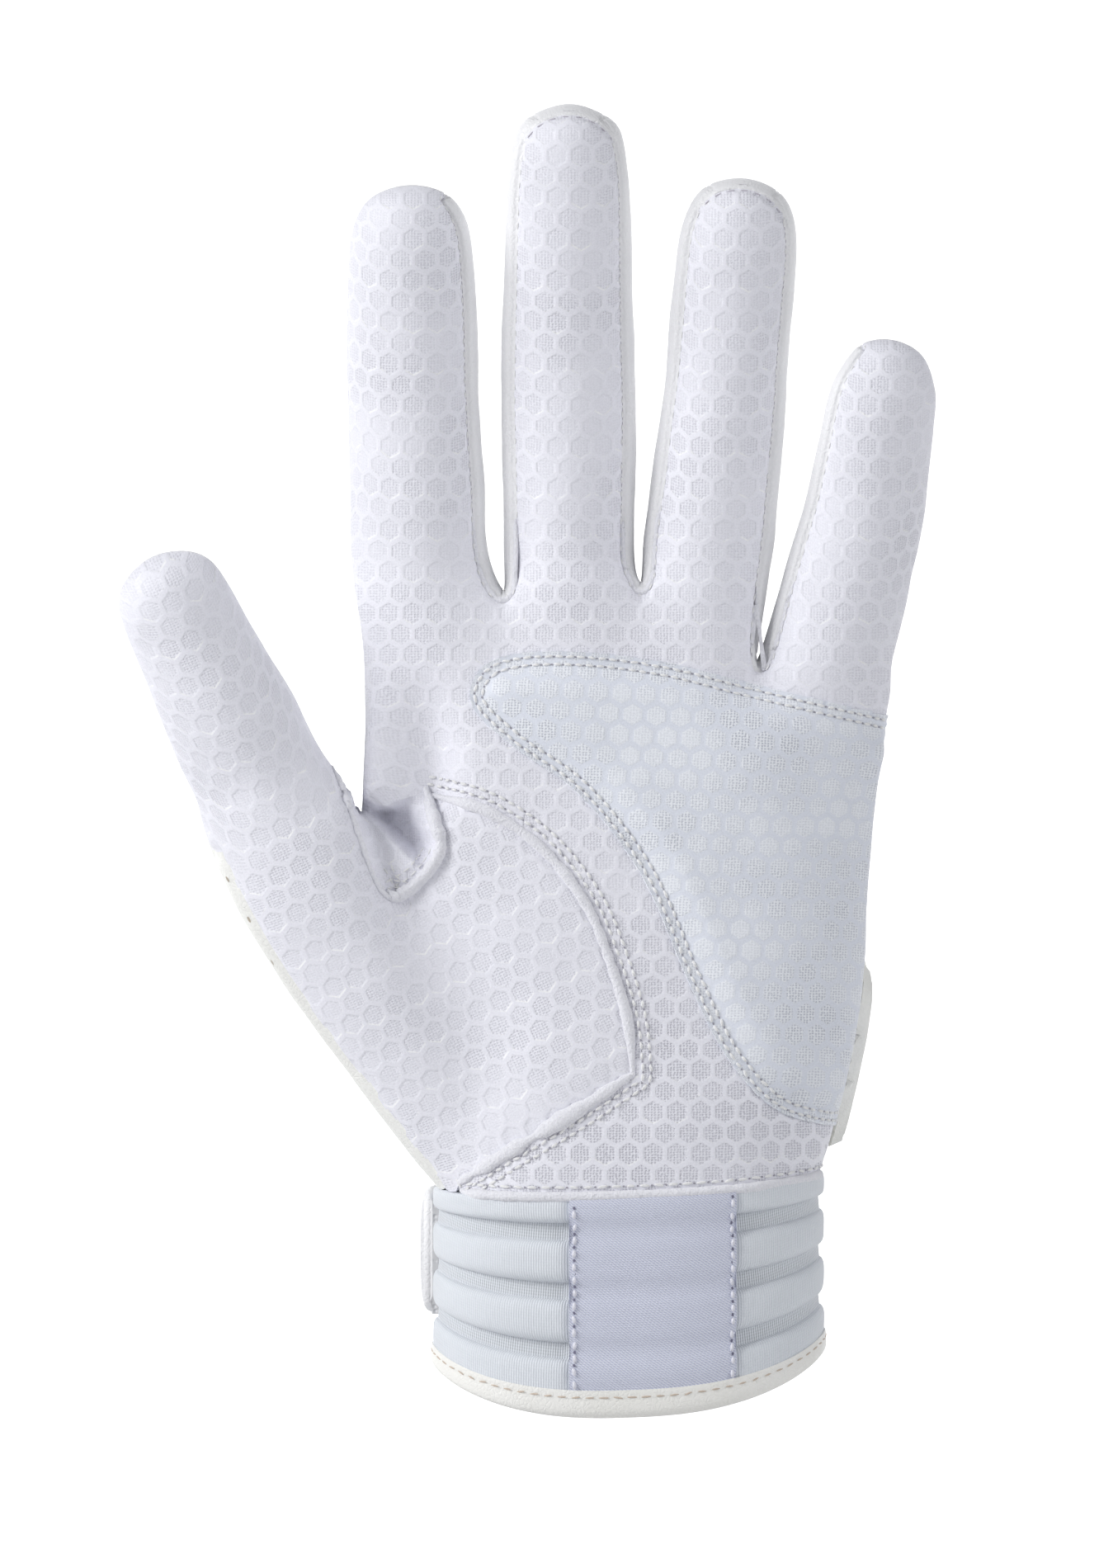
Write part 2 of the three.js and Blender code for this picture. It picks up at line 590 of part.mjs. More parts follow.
// The padded palm overlay and the foam inside it
const padOutline = closedOutline(PAD_OUTLINE);
const foamLayer = toSolid(sheet(panelIs('front'), LAYER_GAP, LAYER_GAP + PAD_FOAM));
const coverBottom = PAD_FOAM + 2 * LAYER_GAP;
const coverLayer = toSolid(sheet(panelIs('front'), coverBottom, coverBottom + PAD_COVER));
const padCutter = (margin) => toSolid(cutter(padOutline, margin, -REACH, 0));
addPiece('palm_pad_foam', 'foam', toGeometry(foamLayer.intersect(padCutter(-PAD_FOAM_MARGIN))));
addPiece('palm_pad', 'pad_mesh', toGeometry(coverLayer.intersect(padCutter(0))));

// Back of the hand, with the moulded guard on the little finger's side
addPiece('back_panel', 'leather', sheet(panelIs('back'), -CLOTH, 0));
const guardCutter = cutter(closedOutline(GUARD_OUTLINE), 0, -REACH, 0).rotateZ(Math.PI / 2);
const guardLayer = toSolid(sheet(panelIs('back'), LAYER_GAP, LAYER_GAP + GUARD_THICKNESS));
addPiece('side_guard', 'leather', toGeometry(guardLayer.intersect(toSolid(guardCutter))));

// The folded foot of each fourchette, in the crotch between two fingers, where the seams are bulkier
const FOLD_INSET = 1.3 * SEAM_GAP;
CROTCHES.forEach((_, k) => {
  const name = `${FINGERS[k].name}_${FINGERS[k + 1].name}_fourchette_fold`;
  addPiece(name, 'leather', sheet(panelIs(`crotch_${k}`), -CLOTH, 0, FOLD_INSET));
});

// The stalls: every panel and crease above the roots
const stallPanels = [...new Set(skin.faces.map(({ panel }) => panel))]
  .filter((panel) => !['front', 'back'].includes(panel) && !panel.startsWith('crotch'));
for (const panel of stallPanels) {
  const material = panel.includes('fourchette') || panel.endsWith('back') ? 'leather' : 'hex_mesh';
  addPiece(panel, material, sheet(panelIs(panel), -CLOTH, 0));
}

// A place on the cuff: turned from the middle of the palm side towards the little finger, a height
// down the band from its top, and a distance out from the crest of its channels
function cuffPlace(turn, z, out) {
  const angle = degrees(turn);
  const power = 2 / HAND_SQUARENESS;
  const x = (CUFF.halfWidth + out) * signedPower(Math.sin(angle), power);
  const y = -(CUFF.halfThick + out) * signedPower(Math.cos(angle), power);
  return vector(x, y, z + PALM_ROWS[0].slope * x);
}

// The same, dropped on the palm side of the wrist: by the rim's dip below, by the hem's above
const hem = PALM_ROWS[0].z;
const dipped = (turn, z, out) => cuffPlace(turn,
  z - palmSide(Math.cos(degrees(turn))) * mix(RIM_DIP, HEM_DIP, z / hem), out);

// A band swept round the cuff: profileAt gives the closed section at each step as [out, z] pairs
function sweptBand(from, to, steps, profileAt, place) {
  const points = [];
  const triangles = [];
  const sections = Array.from({ length: steps + 1 }, (_, step) => profileAt(step / steps));
  const count = sections[0].length;
  sections.forEach((section, step) => {
    const turn = mix(from, to, step / steps);
    points.push(...section.map(([out, z]) => place(turn, z, out)));
  });
  for (let step = 0; step < steps; step++) {
    for (let k = 0; k < count; k++) {
      const a = step * count + k;
      const b = step * count + (k + 1) % count;
      triangles.push(a, a + count, b, b, a + count, b + count);
    }
  }
  const caps = (section) => THREE.ShapeUtils.triangulateShape(flat(section), []);
  for (const [a, b, c] of caps(sections[0])) triangles.push(a, b, c);
  const last = steps * count;
  for (const [a, b, c] of caps(sections[steps])) triangles.push(last + a, last + c, last + b);
  return indexedGeometry(points, triangles);
}

function box(inner, outer, bottom, top) {
  return [[inner, bottom], [outer, bottom], [outer, top], [inner, top]];
}

// The quilted band: channels of foam between stitched grooves, tucked under the palm at the top
const bandBottom = BINDING.height + SEAM_GAP;
const quiltTop = hem - SEAM_GAP;
const channelEdges = [0, ...CUFF_SEAMS, 1].map((share) => mix(bandBottom, quiltTop, share));
const CHANNEL_SHAPE = [[0, 1], [0.2, 0.25], [0.5, 0], [0.8, 0.25]];
const quilted = channelEdges.slice(0, -1).flatMap((low, channel) => CHANNEL_SHAPE.map(
  ([share, sunk]) => [-CHANNEL_GROOVE * sunk, mix(low, channelEdges[channel + 1], share)]));
const tuckOut = -HEM_STEP - CLOTH - CUFF.tuckClearance;
const cuffSection = [...quilted, [-CHANNEL_GROOVE / 4, quiltTop], [tuckOut, quiltTop],
  [tuckOut, hem + CUFF_TUCK], [-CUFF.wall, hem + CUFF_TUCK], [-CUFF.wall, bandBottom]];
const turnOf = (x) => THREE.MathUtils.radToDeg(Math.asin(x / CUFF.halfWidth));
const slitTurn = turnOf(CUFF_SLIT / 2);
const CUFF_STEPS = 40;
const cuffFrom = 180 + slitTurn - 360;
const cuffTo = 180 - slitTurn;
addPiece('cuff_band', 'cuff_knit', sweptBand(cuffFrom, cuffTo, CUFF_STEPS, () => cuffSection, dipped));

// The binding along the rim, rounded below
const bindingOut = BINDING.overhang;
const bindingIn = -CUFF.wall - BINDING.overhang;
const bindingSection = [[bindingIn + BINDING.round, 0], [bindingOut - BINDING.round, 0],
  [bindingOut, BINDING.round], [bindingOut, BINDING.height], [bindingIn, BINDING.height],
  [bindingIn, BINDING.round]];
addPiece('rim_binding', 'binding', sweptBand(cuffFrom, cuffTo, CUFF_STEPS, () => bindingSection, dipped));

// The woven label over the channels, in the middle of the palm side
const LABEL_STEPS = 10;
const labelSection = box(LAYER_GAP, LAYER_GAP + LABEL.thickness, bandBottom, quiltTop - LAYER_GAP);
addPiece('wrist_label', 'twill', sweptBand(turnOf(LABEL.x - LABEL.width / 2),
  turnOf(LABEL.x + LABEL.width / 2), LABEL_STEPS, () => labelSection, dipped));

// The stretch gusset inside the slit
const gussetTurn = turnOf(CUFF_SLIT / 2 + GUSSET.margin);
const GUSSET_STEPS = 6;
const gussetOut = -CUFF.wall - LAYER_GAP;
const gussetSection = box(gussetOut - GUSSET.thickness, gussetOut, bandBottom, hem);
addPiece('wrist_gusset', 'cuff_knit', sweptBand(180 - gussetTurn, 180 + gussetTurn, GUSSET_STEPS,
  () => gussetSection, cuffPlace));

// The strap and its fastening: loop tape on the cuff, hook tape under the strap, and the pull tab
const STRAP_STEPS = 24;
const TAPE_STEPS = 8;
const strapMiddle = STRAP.bottom + STRAP.height / 2;
const centred = (height) => [strapMiddle - height / 2, strapMiddle + height / 2];
const loopIn = LAYER_GAP;
const hookIn = loopIn + LOOP.thickness + LAYER_GAP;
const strapIn = hookIn + HOOK.thickness + LAYER_GAP;
const tabFrom = STRAP.to + THREE.MathUtils.radToDeg(SEAM_GAP / CUFF.halfThick);

// Half of the pull tab's height near its rounded free end
function roundedHalf(height, share, length) {
  const left = (1 - share) * length;
  const radius = height / 2;
  if (left >= radius) return radius;
  return mix(Math.sqrt(radius * radius - (radius - left) ** 2), radius, PULL_TAB.blunt);
}

addPiece('loop_tape', 'hook_tape', sweptBand(LOOP.from, LOOP.to, TAPE_STEPS,
  () => box(loopIn, loopIn + LOOP.thickness, ...centred(LOOP.height)), cuffPlace));
addPiece('hook_tape', 'hook_tape', sweptBand(HOOK.from, HOOK.to, TAPE_STEPS,
  () => box(hookIn, hookIn + HOOK.thickness, ...centred(HOOK.height)), cuffPlace));
addPiece('wrist_strap', 'leather', sweptBand(STRAP.from, STRAP.to, STRAP_STEPS, (share) => {
  const inner = mix(LAYER_GAP, strapIn, THREE.MathUtils.smoothstep(share, 0, STRAP.rise));
  return box(inner, inner + STRAP.thickness, ...centred(STRAP.height));
}, cuffPlace));
const tabLength = degrees(PULL_TAB.to - tabFrom) * CUFF.halfThick;
addPiece('pull_tab', 'leather', sweptBand(tabFrom, PULL_TAB.to, TAPE_STEPS, (share) => {
  const half = roundedHalf(PULL_TAB.height, share, tabLength);
  return box(strapIn, strapIn + PULL_TAB.thickness, strapMiddle - half, strapMiddle + half);
}, cuffPlace));

// Where the stalls and the strap turn: a point on each axis and its direction
glove.userData.hinges = hinges.map(({ name, frame, middle, depth }) => ({
  name,
  at: middle.clone().addScaledVector(frame.front, depth / 2 - CREASE_DEPTH).toArray(),
  axis: frame.across.toArray(),
}));
const strapRoot = cuffPlace(STRAP.from, strapMiddle, LAYER_GAP);
glove.userData.hinges.push({ name: 'strap_open', at: strapRoot.toArray(), axis: [0, 0, -1] });

export default glove;
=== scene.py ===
import math

import bmesh
import bpy
from mathutils import Matrix, Vector, noise
from mathutils.bvhtree import BVHTree
from mathutils.kdtree import KDTree


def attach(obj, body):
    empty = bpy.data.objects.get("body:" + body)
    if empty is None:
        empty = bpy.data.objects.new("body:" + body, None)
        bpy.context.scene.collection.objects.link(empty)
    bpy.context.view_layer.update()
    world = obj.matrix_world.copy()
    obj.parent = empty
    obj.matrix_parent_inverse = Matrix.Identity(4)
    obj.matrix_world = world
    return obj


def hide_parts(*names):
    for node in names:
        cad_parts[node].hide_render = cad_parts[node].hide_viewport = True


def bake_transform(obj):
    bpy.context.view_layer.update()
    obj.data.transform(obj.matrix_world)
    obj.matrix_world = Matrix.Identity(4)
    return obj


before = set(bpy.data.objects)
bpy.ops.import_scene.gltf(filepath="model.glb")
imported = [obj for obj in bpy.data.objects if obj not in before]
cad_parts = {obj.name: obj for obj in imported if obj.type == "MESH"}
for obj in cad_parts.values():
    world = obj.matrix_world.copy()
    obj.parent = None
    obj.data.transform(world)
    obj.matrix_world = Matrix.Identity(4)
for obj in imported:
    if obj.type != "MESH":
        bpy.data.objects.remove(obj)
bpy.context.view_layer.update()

# The hand form. Every panel of the glove is cut and sewn to lie on one hand-shaped surface, so that
# surface comes first: rings of points round the palm, each finger and the thumb, in millimetres,
# smoothed into a fine skin. It is the pattern for the panels below and isn't kept as a piece.
MM = 0.001
FRONT_SEAM = 56
SIDE_TURNS = [math.radians(turn) for turn in (0, FRONT_SEAM, 90, 180 - FRONT_SEAM, 180,
                                              180 + FRONT_SEAM, 270, 360 - FRONT_SEAM)]
PALM_ROWS = (
    dict(x=0, half=31.2, thick=19.7, z=29, slope=0.035),
    dict(x=0.9, half=36.6, thick=17.5, z=58, slope=0),
    dict(x=-2.5, half=41.4, thick=15.5, z=86, slope=-0.06),
    dict(x=-0.9, half=42.3, thick=13.5, z=104, slope=-0.09),
)
ROW_SHARE = 0.94
HAND_SQUARENESS = 2.5
FINGER_SQUARENESS = 2.2
BACK_FLATNESS = 0.9
HEM_DIP = 2
INDEX_SIDE = (-44.1, 121.5)
LITTLE_SIDE = (42.6, 108.5)
CROTCHES = ((-20.5, 125.6), (1.9, 126.9), (20.9, 114.6))
CROTCH = dict(roll=2, inward=1.2, side_share=0.3, deeper=1.35, finger_share=0.53)
FINGERS = (
    dict(name="index", root=(-34.3, 0, 135), lean=-3, upper_lean=-0.5, to_middle=22.3,
         to_tip=34.8, width=(22.6, 21.7, 20.8), depth=(20, 18.6, 17.2), walls=("little",),
         leather_tip=False),
    dict(name="middle", root=(-9.8, 0.8, 135.7), lean=0, upper_lean=0, to_middle=23.9,
         to_tip=45.6, width=(21.4, 22.2, 20.4), depth=(20.5, 19, 17.4),
         walls=("thumb", "little"), leather_tip=True),
    dict(name="ring", root=(13.4, 0.4, 135.7), lean=6, upper_lean=5, to_middle=22.4,
         to_tip=35.2, width=(21.2, 20, 19.8), depth=(19.6, 18, 16.8),
         walls=("thumb", "little"), leather_tip=True),
    dict(name="little", root=(34.1, -0.8, 121.5), lean=14.5, upper_lean=9, to_middle=18.7,
         to_tip=27.6, width=(20.8, 19, 17.6), depth=(18, 16.4, 15), walls=("thumb",),
         leather_tip=False),
)
FINGER_CURL = 2
FINGER_UPPER_CURL = 9
CREASE_HALF = 4.5
TIP_RINGS = ((6.5, 0.89), (2, 0.6))
THUMB = dict(root=(-56.9, -6.4, 88.2), lean=-25.8, curl=9, to_crease=13.2, to_tip=34.5,
             width=(24.2, 21.8, 19.4), depth=(22.5, 19, 16.6))
THENAR = dict(share=0.6, outward=2.4, forward=0.8, fill=0.84)
NOTCH = dict(x=-44.8, half=1.5, depth=0.6)
SETTLING_PASSES = 10

form = bmesh.new()
form.loops.layers.uv.new("cloth")
panel_names = []


def signed_power(value, power):
    return math.copysign(abs(value) ** power, value)


def panel_number(name):
    if name not in panel_names:
        panel_names.append(name)
    return panel_names.index(name)


def raise_ring(body, ring, places, panel_of, below=None, above=None):
    """Pulls a ring of edges on to new places. below and above are where the old and the new ring
    lie on the flat cloth, if that is known by then."""
    cloth = body.loops.layers.uv["cloth"]
    count = len(ring)
    edges = [body.edges.get((ring[k - 1], ring[k])) for k in range(count)]
    fresh = {part for part in bmesh.ops.extrude_edge_only(body, edges=edges)["geom"]
             if isinstance(part, bmesh.types.BMVert)}
    upper = [next(e.other_vert(v) for e in v.link_edges if e.other_vert(v) in fresh) for v in ring]
    for v, place in zip(upper, places):
        v.co = place
    for k in range(count):
        after = (k + 1) % count
        beside = body.edges.get((upper[k], upper[after])).link_faces
        face = next(f for f in beside if ring[k] in f.verts)
        face.material_index = panel_of(k)
        if below:
            flat = {ring[k]: below[k], ring[after]: below[after],
                    upper[k]: above[k], upper[after]: above[after]}
            for loop in face.loops:
                loop[cloth].uv = flat[loop.vert]
    return upper


def close_tip(ring, tip, panel_of):
    end = form.verts.new(tip)
    for k in range(0, 8, 2):
        face = form.faces.new([ring[k], ring[k + 1], ring[(k + 2) % 8], end])
        face.material_index = panel_number(panel_of(k))


def palm_row(row, at_hem=False):
    """The places round one row of the palm: front, little finger's side, back, thumb's side."""
    places = []
    shares = [ROW_SHARE * (column / 4 - 1) for column in range(9)]
    front, back = [(share, -1) for share in shares], [(share, 1) for share in shares[::-1]]
    for share, turn in front + [(1, 0)] + back + [(-1, 0)]:
        x = row["x"] + row["half"] * share
        depth = row["thick"] * (1 - abs(share) ** HAND_SQUARENESS) ** (1 / HAND_SQUARENESS)
        dip = 0
        if at_hem and turn < 0:
            dip = HEM_DIP * (depth / row["thick"]) ** (0.75 * HAND_SQUARENESS)
        flat = BACK_FLATNESS if turn > 0 and not at_hem else 1
        places.append(Vector((x, depth * turn * flat, row["z"] + row["slope"] * x - dip)))
    return places


def crotch_row():
    marks = (INDEX_SIDE,) + CROTCHES + (LITTLE_SIDE,)
    columns = []
    for k, (x, z) in enumerate(marks):
        outer = k in (0, len(marks) - 1)
        depth = FINGERS[min(k, 3)]["depth"][0]
        inward = math.copysign(CROTCH["inward"], -x) if outer else 0
        columns.append((x + inward,
                        CROTCH["side_share"] * depth * (1 if outer else CROTCH["deeper"]),
                        z - (0 if outer else CROTCH["roll"])))
        if k < 4:
            (root_x, _, root_z), lean = FINGERS[k]["root"], math.radians(FINGERS[k]["lean"])
            level = (z + marks[k + 1][1]) / 2 - CROTCH["roll"]
            columns.append((root_x - math.tan(lean) * (root_z - level),
                            CROTCH["finger_share"] * depth, level))
    front = [Vector((x, -y, z)) for x, y, z in columns]
    back = [Vector((x, y, z)) for x, y, z in columns[::-1]]
    return (front + [Vector((LITTLE_SIDE[0], 0, LITTLE_SIDE[1]))] + back
            + [Vector((INDEX_SIDE[0], 0, INDEX_SIDE[1]))])


def stall_frame(lean, curl):
    """Across, along and out of the front of a stall that leans sideways and curls to the palm."""
    lean, curl = math.radians(lean), math.radians(curl)
    across = Vector((math.cos(lean), 0, -math.sin(lean)))
    upright = Vector((math.sin(lean), 0, math.cos(lean)))
    along = upright * math.cos(curl) + Vector((0, -math.sin(curl), 0))
    return across, along, across.cross(along)


def stall_ring(middle, axes, width, depth):
    across, _, front = axes
    power = 2 / FINGER_SQUARENESS
    return [middle + across * signed_power(math.sin(turn), power) * width / 2
            + front * signed_power(math.cos(turn), power) * depth / 2 for turn in SIDE_TURNS]


def mix(a, b, share):
    return a + (b - a) * share


def ease(value, low, high):
    t = min(1, max(0, (value - low) / (high - low)))
    return t * t * (3 - 2 * t)


first = palm_row(PALM_ROWS[0], at_hem=True)
wrist = bmesh.ops.create_circle(form, segments=20, radius=1)["verts"]
for v, place in zip(wrist, first):
    v.co = place
rows = [wrist]
row_places = [first] + [palm_row(row) for row in PALM_ROWS[1:]] + [crotch_row()]
row_places[1][0].y = -PALM_ROWS[1]["thick"] * THENAR["fill"]


def palm_side(row, side):
    if side <= 8 or (side == 19 and row >= 2) or (side == 18 and row == 2):
        return "palm_front"
    return "hand_back"


for k in range(1, 5):
    rows.append(raise_ring(form, rows[-1], row_places[k],
                           lambda side: panel_number(palm_side(k - 1, side))))
bmesh.ops.delete(form, geom=[rows[1][19]], context="VERTS")

crotch_points = [form.verts.new((x, 0.3, z)) for x, z in CROTCHES]
for k, point in enumerate(crotch_points):
    form.edges.new((rows[4][2 * k + 2], point))
    form.edges.new((point, rows[4][18 - (2 * k + 2)]))


def finger_side(finger, part, side):
    """The panel on one side of a finger stall."""
    for wall, sides in (("little", (1, 2)), ("thumb", (5, 6))):
        if wall in finger["walls"] and side in sides:
            return f"{finger['name']}_{part}_wall_{wall}"
    return f"{finger['name']}_{part}_{'front' if side in (0, 1, 6, 7) else 'back'}"


bends = {}
for k, finger in enumerate(FINGERS):
    column = 2 * k
    order = [column + 1, column + 2, 9, 16 - column, 17 - column, 18 - column, 19, column]
    ring = [rows[4][c] for c in order]
    if k > 0:
        ring[6] = crotch_points[k - 1]
    if k < 3:
        ring[2] = crotch_points[k]
    lower = stall_frame(finger["lean"], FINGER_CURL)
    upper = stall_frame(finger["upper_lean"], FINGER_UPPER_CURL)
    root = Vector(finger["root"])
    middle = root + lower[1] * finger["to_middle"]
    width, depth, reach = finger["width"], finger["depth"], finger["to_middle"]
    stations = [(part, root, lower, distance, mix(*width[:2], share), mix(*depth[:2], share))
                for part, distance, share in (
                    ("lower", -CREASE_HALF, 0), ("lower", CREASE_HALF, CREASE_HALF / reach),
                    ("lower", reach / 2, 0.5),
                    ("upper", reach - CREASE_HALF, 1 - CREASE_HALF / reach))]
    ends = [(CREASE_HALF, mix(*width[1:], 0.3), mix(*depth[1:], 0.3)),
            (mix(CREASE_HALF, finger["to_tip"], 0.5), width[2], depth[2])]
    ends += [(finger["to_tip"] - back, width[2] * share, depth[2] * share)
             for back, share in TIP_RINGS]
    stations += [("upper", middle, upper, *end) for end in ends]
    for part, start, axes, distance, wide, deep in stations:
        places = stall_ring(start + axes[1] * distance, axes, wide, deep)
        ring = raise_ring(form, ring, places,
                          lambda side: panel_number(finger_side(finger, part, side)))
    close_tip(ring, middle + upper[1] * finger["to_tip"], lambda side: "{}_upper_{}".format(
        finger["name"], "front" if side in (0, 6) and not finger["leather_tip"] else "back"))
    bends[finger["name"]] = (root, lower[1], middle, upper[1])

across, along, front = thumb_axes = stall_frame(THUMB["lean"], THUMB["curl"])
thumb_root = Vector(THUMB["root"])
ring = [rows[row][column] for row, column in (
    (1, 0), (2, 0), (2, 19), (2, 18), (1, 18), (0, 18), (0, 19), (0, 0))]
web = stall_ring(thumb_root, thumb_axes, THUMB["width"][0], THUMB["depth"][0])
thenar = [v.co.lerp(place, THENAR["share"]) + across * min(0, math.sin(turn)) * THENAR["outward"]
          + front * max(0, math.cos(turn)) * THENAR["forward"]
          for v, place, turn in zip(ring, web, SIDE_TURNS)]
thumb_length = THUMB["to_crease"] + THUMB["to_tip"]
(_, crease_width, pad_width), (_, crease_depth, pad_depth) = THUMB["width"], THUMB["depth"]
past_crease = THUMB["to_crease"] + CREASE_HALF
stations = [("base", thenar), ("base", web)]
for distance, wide, deep in (
        (THUMB["to_crease"] - CREASE_HALF, crease_width, crease_depth),
        (past_crease, crease_width, crease_depth),
        (mix(past_crease, thumb_length, 0.45), pad_width, pad_depth),
        *((thumb_length - back, pad_width * s, pad_depth * s) for back, s in TIP_RINGS)):
    places = stall_ring(thumb_root + along * distance, thumb_axes, wide, deep)
    stations.append(("stall", places))
for step, (part, places) in enumerate(stations):

    def thumb_side(side):
        on_front = side in (0, 1, 6, 7) or (side == 2 and step < 2)
        if part == "base":
            return panel_number("thumb_root" if on_front else "hand_back")
        return panel_number("thumb_front" if on_front else "thumb_back")

    ring = raise_ring(form, ring, places, thumb_side)
close_tip(ring, thumb_root + along * thumb_length,
          lambda side: "thumb_front" if side in (0, 6) else "thumb_back")
bends["thumb"] = (thumb_root + along * THUMB["to_crease"], along)


def settled(v):
    """Where endless smoothing would bring a point of the cage."""
    if v.is_boundary:
        rim = [e.other_vert(v).co for e in v.link_edges if e.is_boundary]
        return (v.co * 4 + rim[0] + rim[1]) / 6
    n = len(v.link_edges)
    total = v.co * n * n
    for e in v.link_edges:
        total += e.other_vert(v).co * 4
    for f in v.link_faces:
        loop = next(l for l in f.loops if l.vert is v)
        total += loop.link_loop_next.link_loop_next.vert.co
    return total / (n * (n + 5))


bmesh.ops.recalc_face_normals(form, faces=form.faces)
wanted = [v.co.copy() for v in form.verts]
for _ in range(SETTLING_PASSES):
    reached = [settled(v) for v in form.verts]
    for v, aim, got in zip(form.verts, wanted, reached):
        v.co += aim - got
bmesh.ops.scale(form, vec=(MM, MM, MM), verts=form.verts)
form_mesh = bpy.data.meshes.new("hand_form")
form.to_mesh(form_mesh)
form.free()
form_object = bpy.data.objects.new("hand_form", form_mesh)
bpy.context.collection.objects.link(form_object)
smoothing = form_object.modifiers.new("smoothing", "SUBSURF")
smoothing.levels = smoothing.render_levels = 4
smoothing.uv_smooth = "NONE"
bpy.context.view_layer.update()
skin = bmesh.new()
skin.from_object(form_object, bpy.context.evaluated_depsgraph_get())
bpy.data.objects.remove(form_object)
skin.verts.ensure_lookup_table()
for v in skin.verts:
    x, z = v.co.x / MM, v.co.z / MM
    if abs(x - NOTCH["x"]) < 6 and 80 < z < 106:
        narrow = math.exp(-((x - NOTCH["x"]) / NOTCH["half"]) ** 2)
        v.co.z -= NOTCH["depth"] * MM * narrow * ease(z, 84, 93.5) * (1 - ease(z, 95, 104))

# The cut lines. The thumb panel and the folded pocket in the web of the thumb are cut from the same
# hand form along these lines, in millimetres across and up the palm. Along every seam the cloth is
# pulled in a little, the index root swells over the pocket, and worn cloth is nowhere quite even.
WEB_LEFT = ((-46, 90.2), (-44.8, 86.3), (-43.4, 82.4), (-42.2, 79), (-40.2, 75.7), (-38, 74.4))
WEB_RIGHT = ((-38, 74.4), (-34, 76.7), (-30.6, 80.7), (-29.6, 84), (-31, 88.8), (-32.2, 93.6))
WEB_TOP = ((-36.5, 91.8), (-41.5, 90.2), (-46, 90.2))
THUMB_LINE = ((-33.4, 92.8), (-23, 90), (-13.5, 83.5), (-6.5, 74.5), (-2.5, 65), (0.3, 55.5),
              (1.2, 46.6))
THUMB_HEM_LINE = ((1.2, 46.6), (-8, 40.5), (-19, 33.8), (-27.5, 28.5))
THUMB_EDGE = dict(width=2.2, low=26, high=92)
SEAM_SINK = 0.65 * MM
SNAP_REACH = 1.6 * MM
UNEVEN = ((32, 0.5 * MM), (75, 0.3 * MM), (190, 0.1 * MM))
INDEX_SWELL = dict(x=-41.2, wide=3.8, depth=3.0)
INDEX_TROUGH = dict(x=-33.0, wide=4.6, depth=3.2)


def curve_through(points, closed=False, steps=24):
    """A smooth line through some places across and up the palm, in metres."""
    places = [Vector((x, 0, z)) * MM for x, z in points]
    count = len(places)
    line = []
    for k in range(count if closed else count - 1):
        a, b, c, d = (places[(k + i) % count if closed else min(max(k + i, 0), count - 1)]
                      for i in (-1, 0, 1, 2))
        for step in range(steps):
            t = step / steps
            line.append(b + (c - a) * (t / 2) + (2 * a - 5 * b + 4 * c - d) * (t * t / 2)
                        + (3 * b - a - 3 * c + d) * (t * t * t / 2))
    return line if closed else line + [places[-1]]


def inside(line, x, z):
    crossed = False
    for k, b in enumerate(line):
        a = line[k - 1]
        if (a.z > z) != (b.z > z) and x < a.x + (z - a.z) * (b.x - a.x) / (b.z - a.z):
            crossed = not crossed
    return crossed


def nearest_on(line):
    tree = KDTree(len(line))
    for k, place in enumerate(line):
        tree.insert(place, k)
    tree.balance()
    return tree


def flattened(place):
    return Vector((place.x, 0, place.z))


def face_outward(body):
    """Notes which way the cloth faces at each point, for the shading of a cut panel."""
    body.normal_update()
    outward = body.verts.layers.float_vector["facing"]
    for v in body.verts:
        v[outward] = v.normal


def snap_to(body, edge_verts, line):
    """Draws the steps of a cut through the cloth on to its smooth line."""
    surface = BVHTree.FromBMesh(body)
    tree = nearest_on(line)
    for v in edge_verts:
        place, _, gap = tree.find(flattened(v.co))
        if gap < SNAP_REACH and v.normal.y < -0.3:
            v.co = surface.find_nearest(Vector((place.x, v.co.y, place.z)))[0]


web_left, web_right = curve_through(WEB_LEFT), curve_through(WEB_RIGHT)
web_line = web_left + web_right[1:] + curve_through(WEB_RIGHT[-1:] + WEB_TOP)[1:-1]
thumb_line = curve_through(THUMB_LINE)
thumb_hem_line = curve_through(THUMB_HEM_LINE)
thumb_outline = thumb_line + thumb_hem_line + [Vector((x, 0, z)) * MM for x, z in (
    (-45, 15), (-100, 15), (-100, 140), (-60, 140), (-46.4, 91), (-40, 86), (-33, 90))]
edge_places = []
for height in range(THUMB_EDGE["low"], THUMB_EDGE["high"] + 1, 3):
    outermost = min(v.co.x for v in skin.verts if abs(v.co.z / MM - height) < 1.5)
    shown = THUMB_EDGE["width"] * (1 - ((height - 55) / 38) ** 4)
    edge_places.append((outermost / MM + shown, height))
thumb_edge = curve_through(edge_places)
beyond_edge = thumb_edge + [Vector((-0.1, 0, THUMB_EDGE[end] * MM)) for end in ("high", "low")]
cloth = skin.loops.layers.uv["cloth"]
palm_front, thumb_base, web_pocket, thumb_root_panel, hand_back = (panel_number(name) for name in (
    "palm_front", "thumb_base", "web_pocket", "thumb_root", "hand_back"))
for face in skin.faces:
    if face.material_index in (palm_front, thumb_root_panel):
        middle = face.calc_center_median()
        if middle.x > 0.003 or middle.z > 0.1 and face.material_index == palm_front:
            continue
        face.material_index = palm_front
        if inside(web_line, middle.x, middle.z):
            face.material_index = web_pocket
        elif inside(beyond_edge, middle.x, middle.z):
            face.material_index = hand_back
        elif inside(thumb_outline, middle.x, middle.z):
            face.material_index = thumb_base


